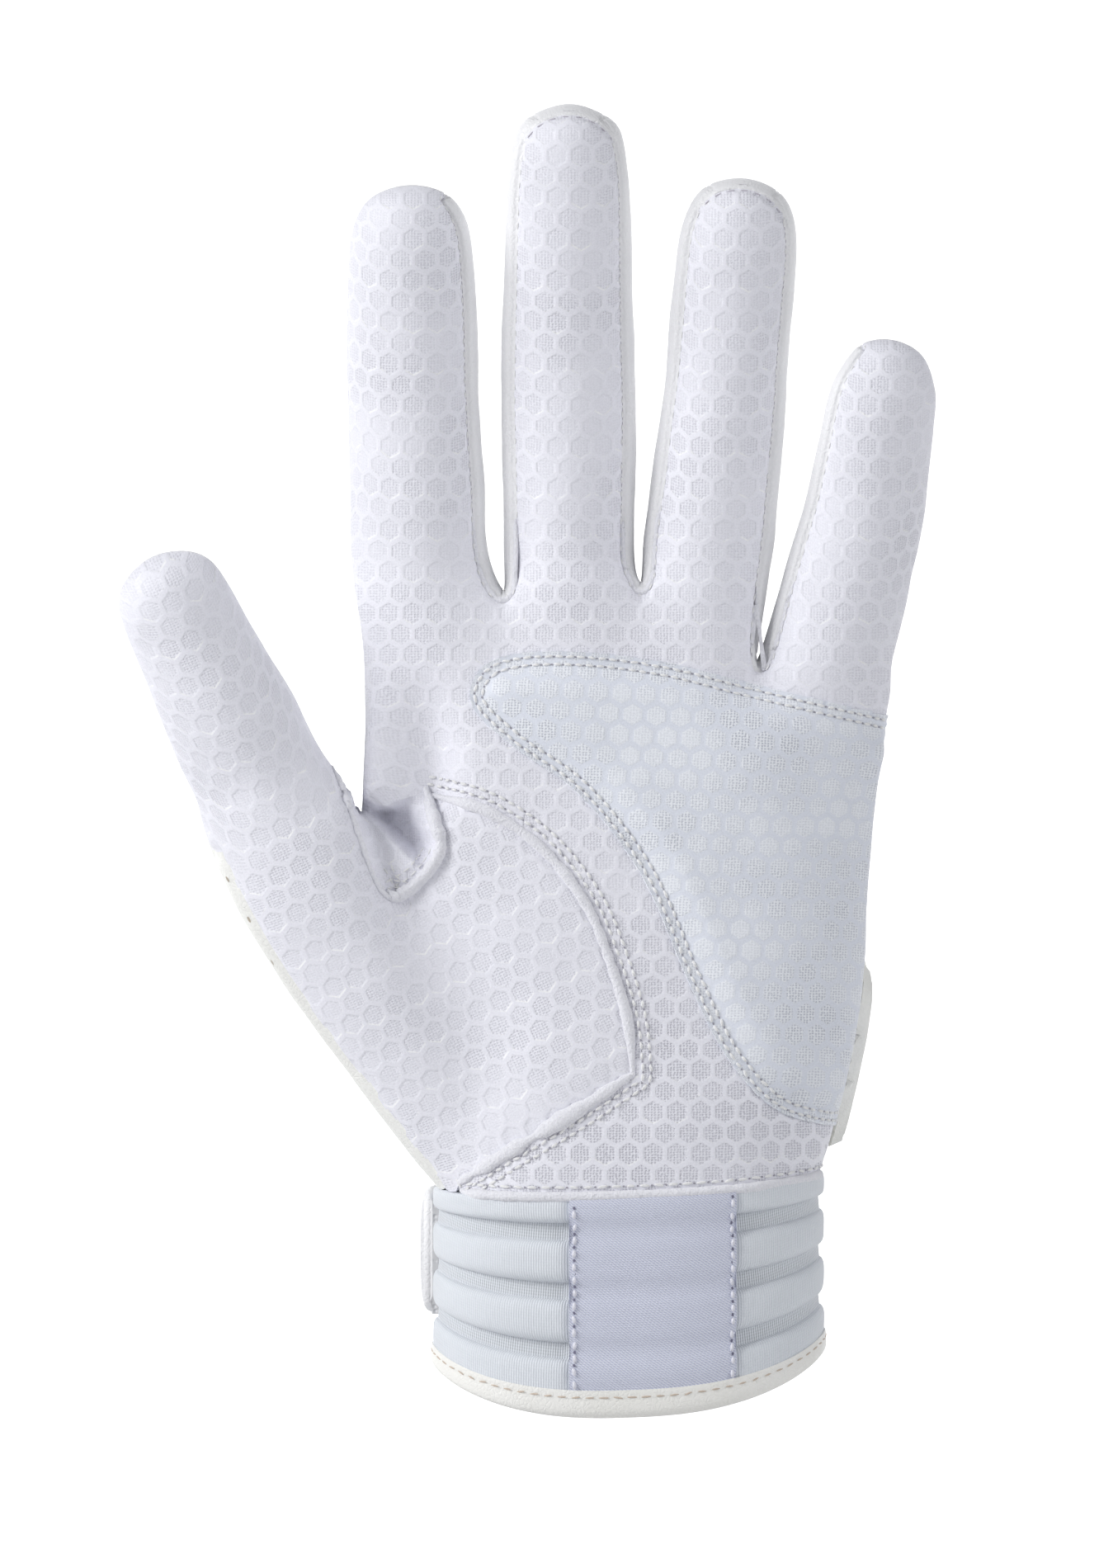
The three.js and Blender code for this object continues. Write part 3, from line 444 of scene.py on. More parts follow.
def family(name):
    """Panels cut from one piece of cloth, whatever joints they cross."""
    if name in ("thumb_base", "thumb_front"):
        return "thumb"
    if name.endswith("front"):
        return "palm"
    if name.endswith("back"):
        return "back"
    return name.replace("_lower", "").replace("_upper", "")


TIP_ARCH = dict(high=11.5, rim=1.5, power=0.85)
tip_lines = {}
for finger in FINGERS:
    name = finger["name"]
    _, _, middle, upper_along = bends[name]
    tip = middle + upper_along * finger["to_tip"]
    front_panel, back_panel = (panel_number(f"{name}_upper_{side}") for side in ("front", "back"))
    half = finger["width"][2] / 2 * math.sin(SIDE_TURNS[1]) ** (2 / FINGER_SQUARENESS)
    if finger["leather_tip"]:
        across = stall_frame(finger["upper_lean"], 0)[0]
        low = tip - upper_along * TIP_ARCH["high"]
        high = TIP_ARCH["high"] - TIP_ARCH["rim"]
        tip_lines[name] = [
            flattened(low) * MM + (across * half * math.cos(turn) + flattened(upper_along)
                                   * high * math.sin(turn) ** TIP_ARCH["power"]) * MM
            for turn in (math.pi * step / 60 for step in range(61))]
        for face in skin.faces:
            if face.material_index in (front_panel, back_panel):
                offset = face.calc_center_median() / MM - low
                up, out = offset.dot(upper_along), offset.dot(across)
                if up > 0 and face.normal.y < 0:
                    share = (abs(out) / half) ** 2 + (up / high) ** (2 / TIP_ARCH["power"])
                    face.material_index = front_panel if share < 1 else back_panel

for face in skin.faces:
    name = panel_names[face.material_index]
    finger = next((f for f in FINGERS if name.startswith(f["name"])), None)
    for loop in face.loops:
        place = loop.vert.co / MM
        if name in ("thumb_base", "thumb_front"):
            offset = place - thumb_root
            x, z = offset.dot(thumb_axes[0]), offset.dot(thumb_axes[1])
            middle_x, half, wrapped = 0, 11, ease(z, -8, 8)
        elif finger:
            x, z = place.x, place.z
            root, along, middle, upper_along = bends[finger["name"]]
            at, way = (middle, upper_along) if z > middle.z else (root, along)
            middle_x, half = at.x + (z - at.z) * way.x / way.z, finger["width"][1] / 2
            wrapped = ease(z, root.z - 8, root.z + 10)
        else:
            x, z = place.x, place.z
            middle_x, half, wrapped = -1, 42, 0.4 * (1 - ease(z, 82, 106))
        share = max(-1.1, min(1.1, (x - middle_x) / half))
        loop[cloth].uv = (x + wrapped * 0.35 * half * share ** 5,
                          z + wrapped * 0.5 * place.y * share ** 4)

families = [family(name) for name in panel_names]
seam_verts = {}
for v in skin.verts:
    meeting = {families[f.material_index] for f in v.link_faces}
    if len(meeting) > 1:
        seam_verts[v] = meeting
snap_to(skin, [v for v, meeting in seam_verts.items() if "web_pocket" in meeting], web_line)
for sides, line in (({"back", "thumb"}, thumb_edge),
                    ({"palm", "thumb"}, thumb_line + thumb_hem_line)):
    snap_to(skin, [v for v, meeting in seam_verts.items() if meeting == sides], line)
for name, line in tip_lines.items():
    at_tip = [v for v, meeting in seam_verts.items() if meeting == {"palm", "back"}
              and any(panel_names[f.material_index].startswith(name) for f in v.link_faces)]
    snap_to(skin, at_tip, line)
skin.normal_update()


def ridge(shape, x):
    """The height of a soft ridge that runs up the hand at shape's x."""
    return shape["depth"] * math.exp(-((x - shape["x"]) / shape["wide"]) ** 2)


beside = {e.other_vert(v) for v in seam_verts for e in v.link_edges} - set(seam_verts)
moves = {}
for v in skin.verts:
    move = sum(noise.noise(v.co * often) * high for often, high in UNEVEN)
    if v in seam_verts:
        meeting = seam_verts[v]
        if not {"palm", "thumb"} & meeting or "web_pocket" in meeting:
            move -= 0.1 * SEAM_SINK
        else:
            move -= SEAM_SINK * (0.3 if meeting in ({"palm", "thumb"}, {"palm", "back"}) else 1)
    elif v in beside:
        move -= 0.4 * SEAM_SINK
    x, z = v.co.x / MM, v.co.z / MM
    if -60 < x < -18 and 84 < z < 118 and v.normal.y < 0.2:
        shown = ease(-v.normal.y, -0.2, 0.5)
        trough = ridge(INDEX_TROUGH, x) * ease(z, 86, 93) * (1 - ease(z, 95, 116))
        move -= MM * trough * shown
        if all(families[f.material_index] == "palm" for f in v.link_faces):
            swell = ridge(INDEX_SWELL, x) * (1 - ease(z, 95, 118))
            move += MM * swell * ease(-v.normal.y, 0.3, 0.85)
    moves[v] = v.normal * move
for v, move in moves.items():
    v.co += move
skin.verts.layers.float_vector.new("facing")
face_outward(skin)
skin_surface = BVHTree.FromBMesh(skin)

# Thread. All the seams are sewn with soft white thread in short stitches; each stitch is one small
# rounded bar, laid along its seam and sunk a little into the cloth.


def set_colour(colour):
    """A colour as the eye reads it, 11 to 255, for a shader."""
    return tuple(((c / 255 + 0.055) / 1.055) ** 2.4 for c in colour) + (1,)


def add_step(tree, kind, *values, **settings):
    """One node of a material; its sockets in order get values or are joined to other nodes."""
    step = tree.nodes.new(kind)
    for name, value in settings.items():
        setattr(step, name, value)
    for k, value in enumerate(values):
        if isinstance(value, bpy.types.NodeSocket):
            tree.links.new(value, step.inputs[k])
        elif value is not None:
            step.inputs[k].default_value = value
    return step.outputs[0]


def new_finish(name, roughness, sheen=0.0):
    finish = bpy.data.materials.new(name)
    finish.use_nodes = True
    shader = finish.node_tree.nodes["Principled BSDF"]
    shader.inputs["Roughness"].default_value = roughness
    shader.inputs["Sheen Weight"].default_value = sheen
    return finish, finish.node_tree, shader


def between(tree, value, low, high):
    """0 below low, 1 above high and smooth in between."""
    step = tree.nodes.new("ShaderNodeMapRange")
    step.interpolation_type = "SMOOTHSTEP"
    step.inputs["From Min"].default_value = low
    step.inputs["From Max"].default_value = high
    tree.links.new(value, step.inputs["Value"])
    return step.outputs["Result"]


def mix_colours(tree, share, first, second):
    step = tree.nodes.new("ShaderNodeMix")
    step.data_type = "RGBA"
    for socket, value in ((0, share), (6, first), (7, second)):
        if isinstance(value, bpy.types.NodeSocket):
            tree.links.new(value, step.inputs[socket])
        else:
            step.inputs[socket].default_value = value
    return step.outputs[2]


def raise_bumps(tree, shader, height, distance, strength=1.0):
    bump = tree.nodes.new("ShaderNodeBump")
    bump.inputs["Strength"].default_value = strength
    bump.inputs["Distance"].default_value = distance
    tree.links.new(height, bump.inputs["Height"])
    tree.links.new(bump.outputs["Normal"], shader.inputs["Normal"])


def paint(tree, shader, share, first, second):
    tree.links.new(mix_colours(tree, share, set_colour(first), set_colour(second)),
                   shader.inputs["Base Color"])


def on_object(tree):
    return tree.nodes.new("ShaderNodeTexCoord").outputs["Object"]


def fibre_finish(name, shade, colour, roughness, sheen, scale, detail, depth, strength):
    finish, tree, shader = new_finish(name, roughness, sheen)
    fibres = add_step(tree, "ShaderNodeTexNoise", on_object(tree), None, scale, detail)
    paint(tree, shader, fibres, shade, colour)
    raise_bumps(tree, shader, fibres, depth, strength)
    return finish


def thread_finish(name, colour):
    return fibre_finish(name, [c * 0.9 for c in colour], colour, roughness=0.55, sheen=0.2,
                        scale=4000.0, detail=2.0, depth=0.0001, strength=0.5)


def hole_finish(name, colour):
    finish, _, shader = new_finish(name, 0.9)
    shader.inputs["Base Color"].default_value = set_colour(colour)
    return finish


white_thread = thread_finish("white_thread", (250, 250, 250))
needle_hole = hole_finish("needle_hole", (164, 162, 172))


def lay_stitches(points, ups, pitch, length, width, slot=1, hole_slot=None):
    """Stitches along a line on the cloth: points with the direction out of the cloth at each."""
    row = bmesh.new()
    run, due, marks = 0.0, pitch / 2, []
    for k in range(1, len(points)):
        step = (points[k] - points[k - 1]).length
        while step > 0 and run + step >= due:
            share = (due - run) / step
            marks.append((points[k - 1].lerp(points[k], share),
                          ups[k - 1].lerp(ups[k], share).normalized(),
                          (points[k] - points[k - 1]).normalized()))
            due += pitch
        run += step
    for place, up, along in marks:
        side = up.cross(along).normalized()
        along = side.cross(up)
        turned = along + side * 0.4 * noise.noise(place * 900)
        long = length * (1 + 0.25 * noise.noise(place * 700))
        frame_at = Matrix((turned.normalized(), side, up)).transposed().to_4x4()
        frame_at.translation = place + up * width * 0.25
        bar = (Matrix.Diagonal((long / 2, width / 2, width * 0.45, 1))
               @ Matrix.Rotation(math.pi / 2, 4, "Y"))
        stitch = bmesh.ops.create_uvsphere(row, u_segments=6, v_segments=4, radius=1,
                                           matrix=frame_at @ bar)
        for face in {f for v in stitch["verts"] for f in v.link_faces}:
            face.material_index = slot
            face.smooth = True
        if hole_slot is not None:
            frame_at.translation = place + along * pitch / 2 + up * width * 0.12
            lay_hole(row, frame_at, width * 0.75, width * 0.6, hole_slot)
    return row


def lay_hole(body, frame_at, length, width, slot):
    """A small dark oval on the cloth, where a needle or punch went through."""
    deep = 0.15 * MM
    oval = Matrix.Translation((0, 0, -deep / 2)) @ Matrix.Diagonal((length, width, 1, 1))
    hole = bmesh.ops.create_cone(body, cap_ends=True, segments=8, radius1=0.2, radius2=0.5,
                                 depth=deep, matrix=frame_at @ oval)
    for face in {f for v in hole["verts"] for f in v.link_faces}:
        face.material_index = slot


def on_palm(line, shift=0.0, surface=skin_surface):
    """A line laid on the front of the hand, moved to its left: places and directions out."""
    points, ups = [], []
    for k, place in enumerate(line):
        along = (line[min(k + 1, len(line) - 1)] - line[max(k - 1, 0)]).normalized()
        place = place + Vector((-along.z, 0, along.x)) * shift
        hit, up, _, _ = surface.ray_cast(Vector((place.x, -0.2, place.z)), Vector((0, 1, 0)))
        if hit:
            points.append(hit)
            ups.append(up)
    return points, ups


# Hexagon knit: the palm panel with the fronts of the fingers, and the thumb panel. A thin polyester
# knit with smooth bands round six-sided cells of open mesh, cut flat and sewn to shape. The pattern
# runs on the flat cloth, so it bends with each finger and turns along the thumb.
CLOTH_THICK = 1.0 * MM
CELL_PITCH = 3.9
BAND_HALF = 0.42
MESH_PITCH = (0.52, 0.43)
# The knit's tones: band, cell, mesh holes, and the painted highlight along the cells' lower edges.
KNIT_TONES = ((241, 241, 249), (240, 240, 248), (150, 146, 168), (255, 255, 255))
KNIT_RISE = -0.13
SHARP = math.radians(50)
SEAM_PITCH = 2.2 * MM
HEAVY = dict(pitch=1.75 * MM, length=1.3 * MM, width=0.55 * MM, hole_slot=2)
HEM_ROW = dict(pitch=2.3 * MM, length=1.6 * MM, width=0.55 * MM, hole_slot=2)
THUMB_ROWS = (1.1 * MM, 2.4 * MM)


def maths(tree, operation, *values):
    return add_step(tree, "ShaderNodeMath", *values, operation=operation)


def vectors(tree, operation, *values):
    made = add_step(tree, "ShaderNodeVectorMath", *values, operation=operation)
    return made.node.outputs["Value"] if operation in ("LENGTH", "DOT_PRODUCT") else made


def on_cloth(tree):
    return add_step(tree, "ShaderNodeUVMap", uv_map="cloth")


def parts_of(tree, vector):
    return add_step(tree, "ShaderNodeSeparateXYZ", vector).node.outputs


def cell_distance(tree, at, scale, randomness=1.0, **settings):
    cells = add_step(tree, "ShaderNodeTexVoronoi", **settings).node
    cells.inputs["Scale"].default_value = scale
    cells.inputs["Randomness"].default_value = randomness
    tree.links.new(at, cells.inputs["Vector"])
    return cells.outputs["Distance"]


def hexagon_finish(name, band, cell, mesh_holes, painted_highlight, contrast, rise, tilt=0.0, heel=0.0):
    """Smooth bands round six-sided cells, with a mesh of fine holes in each cell, and a painted
    highlight: thin bright lines, broken here and there, along the lower edges of the cells, where
    light from above would catch the raised bands. rise is how far the cells stand above the bands,
    in millimetres, tilt turns the rows, and heel darkens the mesh holes more towards the wrist."""
    finish, tree, shader = new_finish(name, 0.62, sheen=0.2)
    flat = tree.nodes.new("ShaderNodeMapping")
    flat.inputs["Rotation"].default_value = (0, 0, math.radians(tilt))
    tree.links.new(on_cloth(tree), flat.inputs["Vector"])
    uv = flat.outputs["Vector"]
    place = vectors(tree, "DIVIDE", uv, (CELL_PITCH, CELL_PITCH, 1))
    half = Vector((0.5, math.sqrt(3) / 2, 0.5))
    first = vectors(tree, "WRAP", place, half, -half)
    second = vectors(tree, "WRAP", vectors(tree, "ADD", place, half), half, -half)
    closer = maths(tree, "LESS_THAN", *(vectors(tree, "LENGTH", way) for way in (first, second)))
    pick = tree.nodes.new("ShaderNodeMix")
    pick.data_type = "VECTOR"
    for socket, value in ((0, closer), (4, second), (5, first)):
        tree.links.new(value, pick.inputs[socket])
    from_middle = pick.outputs[1]
    out = vectors(tree, "ABSOLUTE", from_middle)
    slant = vectors(tree, "DOT_PRODUCT", out, (0.5, math.sqrt(3) / 2, 0))
    reach = maths(tree, "MAXIMUM", slant, parts_of(tree, out)["X"])
    edge = maths(tree, "MULTIPLY_ADD", reach, -CELL_PITCH, CELL_PITCH / 2)

    in_cell = between(tree, edge, BAND_HALF - 0.1, BAND_HALF + 0.1)
    line_gap = maths(tree, "ABSOLUTE", maths(tree, "SUBTRACT", edge, BAND_HALF))
    # Painted highlight: a thin bright line at the band's edge, only on the lower side of each cell,
    # where light from above catches the raised band, broken up by noise.
    painted_highlight_mask = maths(tree, "SUBTRACT", 1.0, between(tree, line_gap, 0.06, 0.19))
    lit_lower_side = maths(tree, "MULTIPLY", parts_of(tree, from_middle)["Y"], -1.0)
    painted_highlight_mask = maths(tree, "MULTIPLY", painted_highlight_mask, between(tree, lit_lower_side, 0.05, 0.3))
    broken = between(tree, add_step(tree, "ShaderNodeTexNoise", uv, None, 0.3, 1.0), 0.42, 0.66)
    painted_highlight_mask = maths(tree, "MULTIPLY", painted_highlight_mask, broken)

    wales = vectors(tree, "DIVIDE", uv, (*MESH_PITCH, 1))
    solid = between(tree, cell_distance(tree, wales, 1, 0.28, voronoi_dimensions="2D"), 0.15, 0.45)
    open_mesh = maths(tree, "MULTIPLY", maths(tree, "SUBTRACT", 1.0, solid), in_cell)
    wear = add_step(tree, "ShaderNodeTexNoise", uv, None, 0.055, 3.0)
    strength = maths(tree, "MULTIPLY_ADD", between(tree, wear, 0.3, 0.7), 0.8, 0.2)
    # heel makes the mesh holes darker towards the wrist, below about 85 mm.
    above = between(tree, parts_of(tree, on_object(tree))["Z"], 0.045, 0.085)
    near_wrist = maths(tree, "MULTIPLY_ADD", above, -heel, heel)
    open_mesh = maths(tree, "MULTIPLY", open_mesh, maths(tree, "ADD", strength, near_wrist))

    grain = add_step(tree, "ShaderNodeTexNoise", uv, None, 3.2, 1.0)
    colour = mix_colours(tree, in_cell, set_colour(band), set_colour(cell))
    for where, share, tone in ((between(tree, grain, 0.4, 0.66), 0.13, [c * 0.8 for c in band]),
                               (painted_highlight_mask, 0.7, painted_highlight), (open_mesh, contrast, mesh_holes)):
        colour = mix_colours(tree, maths(tree, "MULTIPLY", where, share), colour, set_colour(tone))
    tree.links.new(colour, shader.inputs["Base Color"])
    step_up = between(tree, edge, BAND_HALF - 0.25, BAND_HALF + 0.3)
    raised = maths(tree, "MULTIPLY", step_up, rise)
    raised = maths(tree, "MULTIPLY_ADD", open_mesh, -0.12, raised)
    raised = maths(tree, "MULTIPLY_ADD", grain, 0.05, raised)
    raise_bumps(tree, shader, raised, 0.001, 0.7)
    return finish


palm_knit = hexagon_finish("palm_knit", *KNIT_TONES, contrast=0.2, rise=KNIT_RISE, heel=1.0)


def add_piece(name, body, finishes):
    """Makes an object of a finished mesh, shaded smooth but for its cut edges."""
    mesh = bpy.data.meshes.new(name)
    body.to_mesh(mesh)
    body.free()
    mesh.set_sharp_from_angle(angle=SHARP)
    if "facing" in mesh.attributes:
        outward = [Vector(item.vector) for item in mesh.attributes["facing"].data]
        normals = []
        for polygon in mesh.polygons:
            for k in polygon.vertices:
                normals.append(outward[k] if polygon.normal.dot(outward[k]) > 0.6 else Vector())
        mesh.normals_split_custom_set(normals)
        mesh.attributes.remove(mesh.attributes["facing"])
    for finish in finishes:
        mesh.materials.append(finish)
    piece = bpy.data.objects.new(name, mesh)
    bpy.context.collection.objects.link(piece)
    return piece


def add_rows(body, rows):
    """Sews rows of stitches on to a panel."""
    for row in rows:
        sewn = bpy.data.meshes.new("stitches")
        row.to_mesh(sewn)
        row.free()
        body.from_mesh(sewn)
        bpy.data.meshes.remove(sewn)


def give_thickness(body, thick):
    """Doubles a cut sheet inwards, square to the cloth, and closes its edges."""
    outward = body.verts.layers.float_vector["facing"]
    made = bmesh.ops.extrude_face_region(body, geom=body.faces[:], use_keep_orig=True)["geom"]
    for v in made:
        if isinstance(v, bmesh.types.BMVert):
            v.co -= v[outward].normalized() * thick
    bmesh.ops.recalc_face_normals(body, faces=body.faces)


def declare_cut(piece):
    """Works out the corners and the area that a panel's cut has in the flat cloth, but does nothing
    with them.
    """
    spots, area = [], 0
    for polygon in piece.data.polygons:
        if polygon.material_index == 0:
            corners = [piece.data.uv_layers["cloth"].data[k].uv * MM for k in polygon.loop_indices]
            spots += corners
            area += abs(sum(a.cross(b) for a, b in zip(corners, corners[1:] + corners[:1]))) / 4


def shade_smooth(body):
    for face in body.faces:
        face.material_index = 0
        face.smooth = True


def cut_out(wanted):
    """A copy of those faces of the hand form that are wanted."""
    body = skin.copy()
    bmesh.ops.delete(body, geom=[f for f in body.faces if not wanted(f)], context="FACES")
    return body


def cut_panel(name, panel, finishes, rows=()):
    """A panel cut from the hand form, given the thickness of its cloth, with its stitching."""
    number = panel_number(panel)
    body = cut_out(lambda f: f.material_index == number)
    shade_smooth(body)
    give_thickness(body, CLOTH_THICK)
    add_rows(body, rows)
    return add_piece(name, body, finishes)


def seam_runs(on_panels, far):
    """The seams between some panels and far families of panels: runs of places, each with the
    direction on to the near panel and that panel's number."""
    near = {panel_number(panel) for panel in on_panels}
    links = {}
    for edge in skin.edges:
        if len(edge.link_faces) == 2:
            a, b = edge.link_faces
            if b.material_index in near:
                a, b = b, a
            if a.material_index in near and families[b.material_index] in far:
                inward = a.calc_center_median() - (edge.verts[0].co + edge.verts[1].co) / 2
                for v in edge.verts:
                    links.setdefault(v, []).append((edge.other_vert(v), inward, a.material_index))
    runs, used = [], set()
    for start in sorted(links, key=lambda v: (len(links[v]) != 1, v.index)):
        if start in used:
            continue
        run, at = [], start
        while at is not None:
            used.add(at)
            inward = sum((link[1] for link in links[at]), Vector())
            run.append((at.co.copy(), inward.normalized(), links[at][0][2]))
            at = next((link[0] for link in links[at] if link[0] not in used), None)
        if len(run) > 8:
            runs.append(run)
    return runs


def smoothed(places, reach):
    """Each place of a line becomes the mean of those up to reach steps away."""
    near = [places[max(0, k - reach):k + reach + 1] for k in range(len(places))]
    return [sum(some, Vector()) / len(some) for some in near]


def seam_rows(on_panels, far, inset, length, width, slot=1):
    """Stitch rows along a panel's seams, set in from the edge, sorted by the panel they are on."""
    rows = {}
    for run in seam_runs(on_panels, far):
        pieces = {}
        for place, inward, panel in run:
            spot, up, _, _ = skin_surface.find_nearest(place + inward * inset)
            pieces.setdefault(panel, []).append((spot, up))
        for panel, places in pieces.items():
            line = smoothed([spot for spot, _ in places], 3)
            rows.setdefault(panel_names[panel], []).append(
                lay_stitches(line, [up for _, up in places], SEAM_PITCH, length, width, slot))
    return rows


seam_line = thumb_line + thumb_hem_line[1:]
palm_rows = [lay_stitches(*on_palm(seam_line, shift), **HEAVY) for shift in THUMB_ROWS]
hem_edge = []
for v in skin.verts:
    on_front = any(families[f.material_index] == "palm" for f in v.link_faces)
    if v.is_boundary and v.normal.y < 0.05 and on_front:
        hem_edge.append(v.co + Vector((0, 0, 1.6 * MM)))
hem_edge.sort(key=lambda place: place.x)
hem_points, hem_facing, _, _ = zip(*(skin_surface.find_nearest(place) for place in hem_edge))
palm_rows.append(lay_stitches(hem_points, hem_facing, **HEM_ROW))
palm_piece = cut_panel("palm_cloth", "palm_front", [palm_knit, white_thread, needle_hole],
                       palm_rows)
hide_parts("palm_panel")
declare_cut(palm_piece)
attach(palm_piece, "palm")

# Dark marks on the finger fronts: painted shade for the dark line in the seam on each finger's
# little-finger side, and dark stitch marks along the leather backs and tip arches.
seam_gap = hole_finish("seam_gap", (194, 190, 198))


def bend_with(piece):
    """Bakes a finger panel's placement into its mesh; it is not set to bend at the root or the
    middle.
    """
    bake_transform(piece)


for finger in FINGERS:
    name = finger["name"]
    walls = [f"{name}_wall_{wall}" for wall in finger["walls"]]
    fronts = [f"{name}_lower_front", f"{name}_upper_front"]
    rows = seam_rows(fronts, walls, inset=0.7 * MM, length=1.1 * MM, width=0.32 * MM)
    # The row along the little-finger wall is painted shade in the seam, on the side turned from the
    # key light; the row along the backs marks the stitching.
    for far, inset, length in ((f"{name}_wall_little", 0.15 * MM, 2.1 * MM),
                               ("back", 0.4 * MM, 1.2 * MM)):
        shade_and_stitch_rows = seam_rows(fronts, {far}, inset, length, width=0.24 * MM, slot=2)
        for panel, more in shade_and_stitch_rows.items():
            rows[panel] = rows.get(panel, []) + more
    for part, crease in (("lower", "root"), ("upper", "middle")):
        panel = f"{name}_{part}_front"
        front_piece = cut_panel(f"{name}_{part}_cloth", panel, [palm_knit, white_thread, seam_gap],
                                rows.get(panel, ()))
        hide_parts(panel, f"{name}_{crease}_crease")
        declare_cut(front_piece)
        bend_with(front_piece)

thumb_knit = hexagon_finish("thumb_knit", *KNIT_TONES, contrast=0.16, rise=KNIT_RISE)
thumb_piece = cut_panel("thumb_cloth", "thumb_base", [thumb_knit])
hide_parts("thumb_panel")
declare_cut(thumb_piece)
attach(thumb_piece, "palm")
thumb_tip = cut_panel("thumb_stall_cloth", "thumb_front", [thumb_knit])
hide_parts("thumb_upper_front", "thumb_crease")
declare_cut(thumb_tip)
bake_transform(thumb_tip)

# Web pocket and raised seams. Between thumb and index finger the knit is folded into a small
# pocket. It and the thumb panel are sewn on with their raw edges outside, so each seam stands up as
# a soft, slightly fuzzy ridge.
WELT_SIDES = 10
raw_edge = fibre_finish("raw_edge", (226, 226, 236), (252, 252, 255), roughness=0.85, sheen=0.5,
                        scale=2600.0, detail=4.0, depth=0.0004, strength=0.8)


def lay_welt(points, ups, width, height, ragged=0.12):
    """A raised seam: an uneven flattened roll along a line on the cloth, closed at its ends."""
    welt = bmesh.new()
    welt.loops.layers.uv.new("cloth")
    ring = first_ring = bmesh.ops.create_circle(welt, segments=WELT_SIDES, radius=1)["verts"]
    turns = [2 * math.pi * side / WELT_SIDES for side in range(WELT_SIDES)]
    run = 0
    for k, (place, up) in enumerate(zip(points, ups)):
        along = (points[min(k + 1, len(points) - 1)] - points[max(k - 1, 0)]).normalized()
        side = up.cross(along).normalized()
        taper = 0.35 + 0.65 * min(1, min(k, len(points) - 1 - k) / 6)
        uneven = 1 + ragged * noise.noise(place * 1400) + ragged * noise.noise(place * 420)
        places = [place + (side * math.cos(turn) * width / 2
                           + up * (math.sin(turn) + 0.35) * height / 1.35) * taper * uneven
                  for turn in turns]
        if k == 0:
            for v, start in zip(ring, places):
                v.co = start
        else:
            step = (place - points[k - 1]).length / MM
            below, above = ([(i, at) for i in range(WELT_SIDES)] for at in (run, run + step))
            ring = raise_ring(welt, ring, places, lambda side: 0, below, above)
            run += step
    for end in (first_ring, ring):
        welt.faces.new(end)
    bmesh.ops.recalc_face_normals(welt, faces=welt.faces)
    shade_smooth(welt)
    return welt


THUMB_INNER_EDGE = ((-50.4, 100.4), (-48.9, 97), (-47, 92.9))
POCKET = dict(fold=(-39.9, 85.7), flap=0.7, depth=6.5, thick=0.6 * MM)
WEB_ROWS = (2.6 * MM, 3.8 * MM)
FINE = dict(pitch=1.7 * MM, length=1.3 * MM, width=0.32 * MM)
web_tree, right_tree = nearest_on(web_line), nearest_on(web_right)
web = cut_out(lambda f: f.material_index == web_pocket)
bmesh.ops.subdivide_edges(web, edges=web.edges[:], cuts=3, use_grid_fill=True)
for v in web.verts:
    x, z = v.co.x / MM, v.co.z / MM
    edge, from_right = (tree.find(flattened(v.co))[2] / MM for tree in (web_tree, right_tree))
    past_fold = 0.7 * (x - POCKET["fold"][0]) + 0.71 * (z - POCKET["fold"][1])
    along_fold = 0.71 * x - 0.7 * z
    drawn_in = mix(ease(90.2 - z, 0, 1.2), ease(92.8 - z, 0, 6.5), ease(x, -40, -36))
    hollow = (POCKET["depth"] * ease(past_fold, 0, 2.2) * drawn_in * ease(from_right, 1.5, 5.5)
              * ease(x, -45.5, -39))
    flap = POCKET["flap"] * ease(past_fold, -6, -0.6) * (1 - ease(past_fold, -0.2, 0.8))
    crease = 0.45 * noise.noise(Vector((past_fold * 0.55, along_fold * 0.12, 3)))
    crease += 0.2 * noise.noise(v.co * 500)
    lift = (flap - hollow) * ease(edge, 0, 0.9) + crease * ease(edge, 0, 3.5)
    v.co.y -= lift * MM
face_outward(web)
shade_smooth(web)
web_surface = BVHTree.FromBMesh(web)
web_area = sum(face.calc_area() for face in web.faces)
web_seam = web_left[70:] + web_right[1:-50]
web_rows = [lay_stitches(*on_palm(web_seam, shift, web_surface), **FINE) for shift in WEB_ROWS]
give_thickness(web, POCKET["thick"])
add_rows(web, web_rows)
web_piece = add_piece("web_pocket_cloth", web, [thumb_knit, white_thread])
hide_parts("web_gusset")
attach(web_piece, "palm")
hem_line = smoothed([place - Vector((0, 0, 1.5 * MM)) for place in hem_edge], 2)
hem_ups = [Vector((place.x * 0.35, place.y, 0)).normalized() for place in hem_line]
welts = [("palm_hem_fold", hem_line, hem_ups, 1.7, 1.1, 0.1)]
for name, line, shift, width, height, ragged in (
        ("web_left_lip", curve_through(THUMB_INNER_EDGE + WEB_LEFT), 0.3 * MM, 1.1, 0.75, 0.3),
        ("web_right_lip", curve_through(WEB_LEFT[-2:] + WEB_RIGHT[1:]), 0.9 * MM, 2.1, 1.6, 0.25),
        ("thumb_seam_welt", thumb_line, -0.6 * MM, 1.7, 0.75, 0.3),
        ("thumb_hem_welt", thumb_hem_line, -0.5 * MM, 2.1, 0.8, 0.6)):
    welts.append((name, *on_palm(line[::3], shift), width, height, ragged))
for name, points, ups, width, height, ragged in welts:
    welt = add_piece(name, lay_welt(points, ups, width * MM, height * MM, ragged), [raw_edge])
    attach(welt, "palm")

# Leather: the back of the hand, the backs of the fingers and thumb, and the walls between fingers.
# Thin, smooth white leather with a fine grain, sewn edge to edge with the knit of the palm side.
# Where it comes round the thumb's outer edge, small vent holes are punched through.


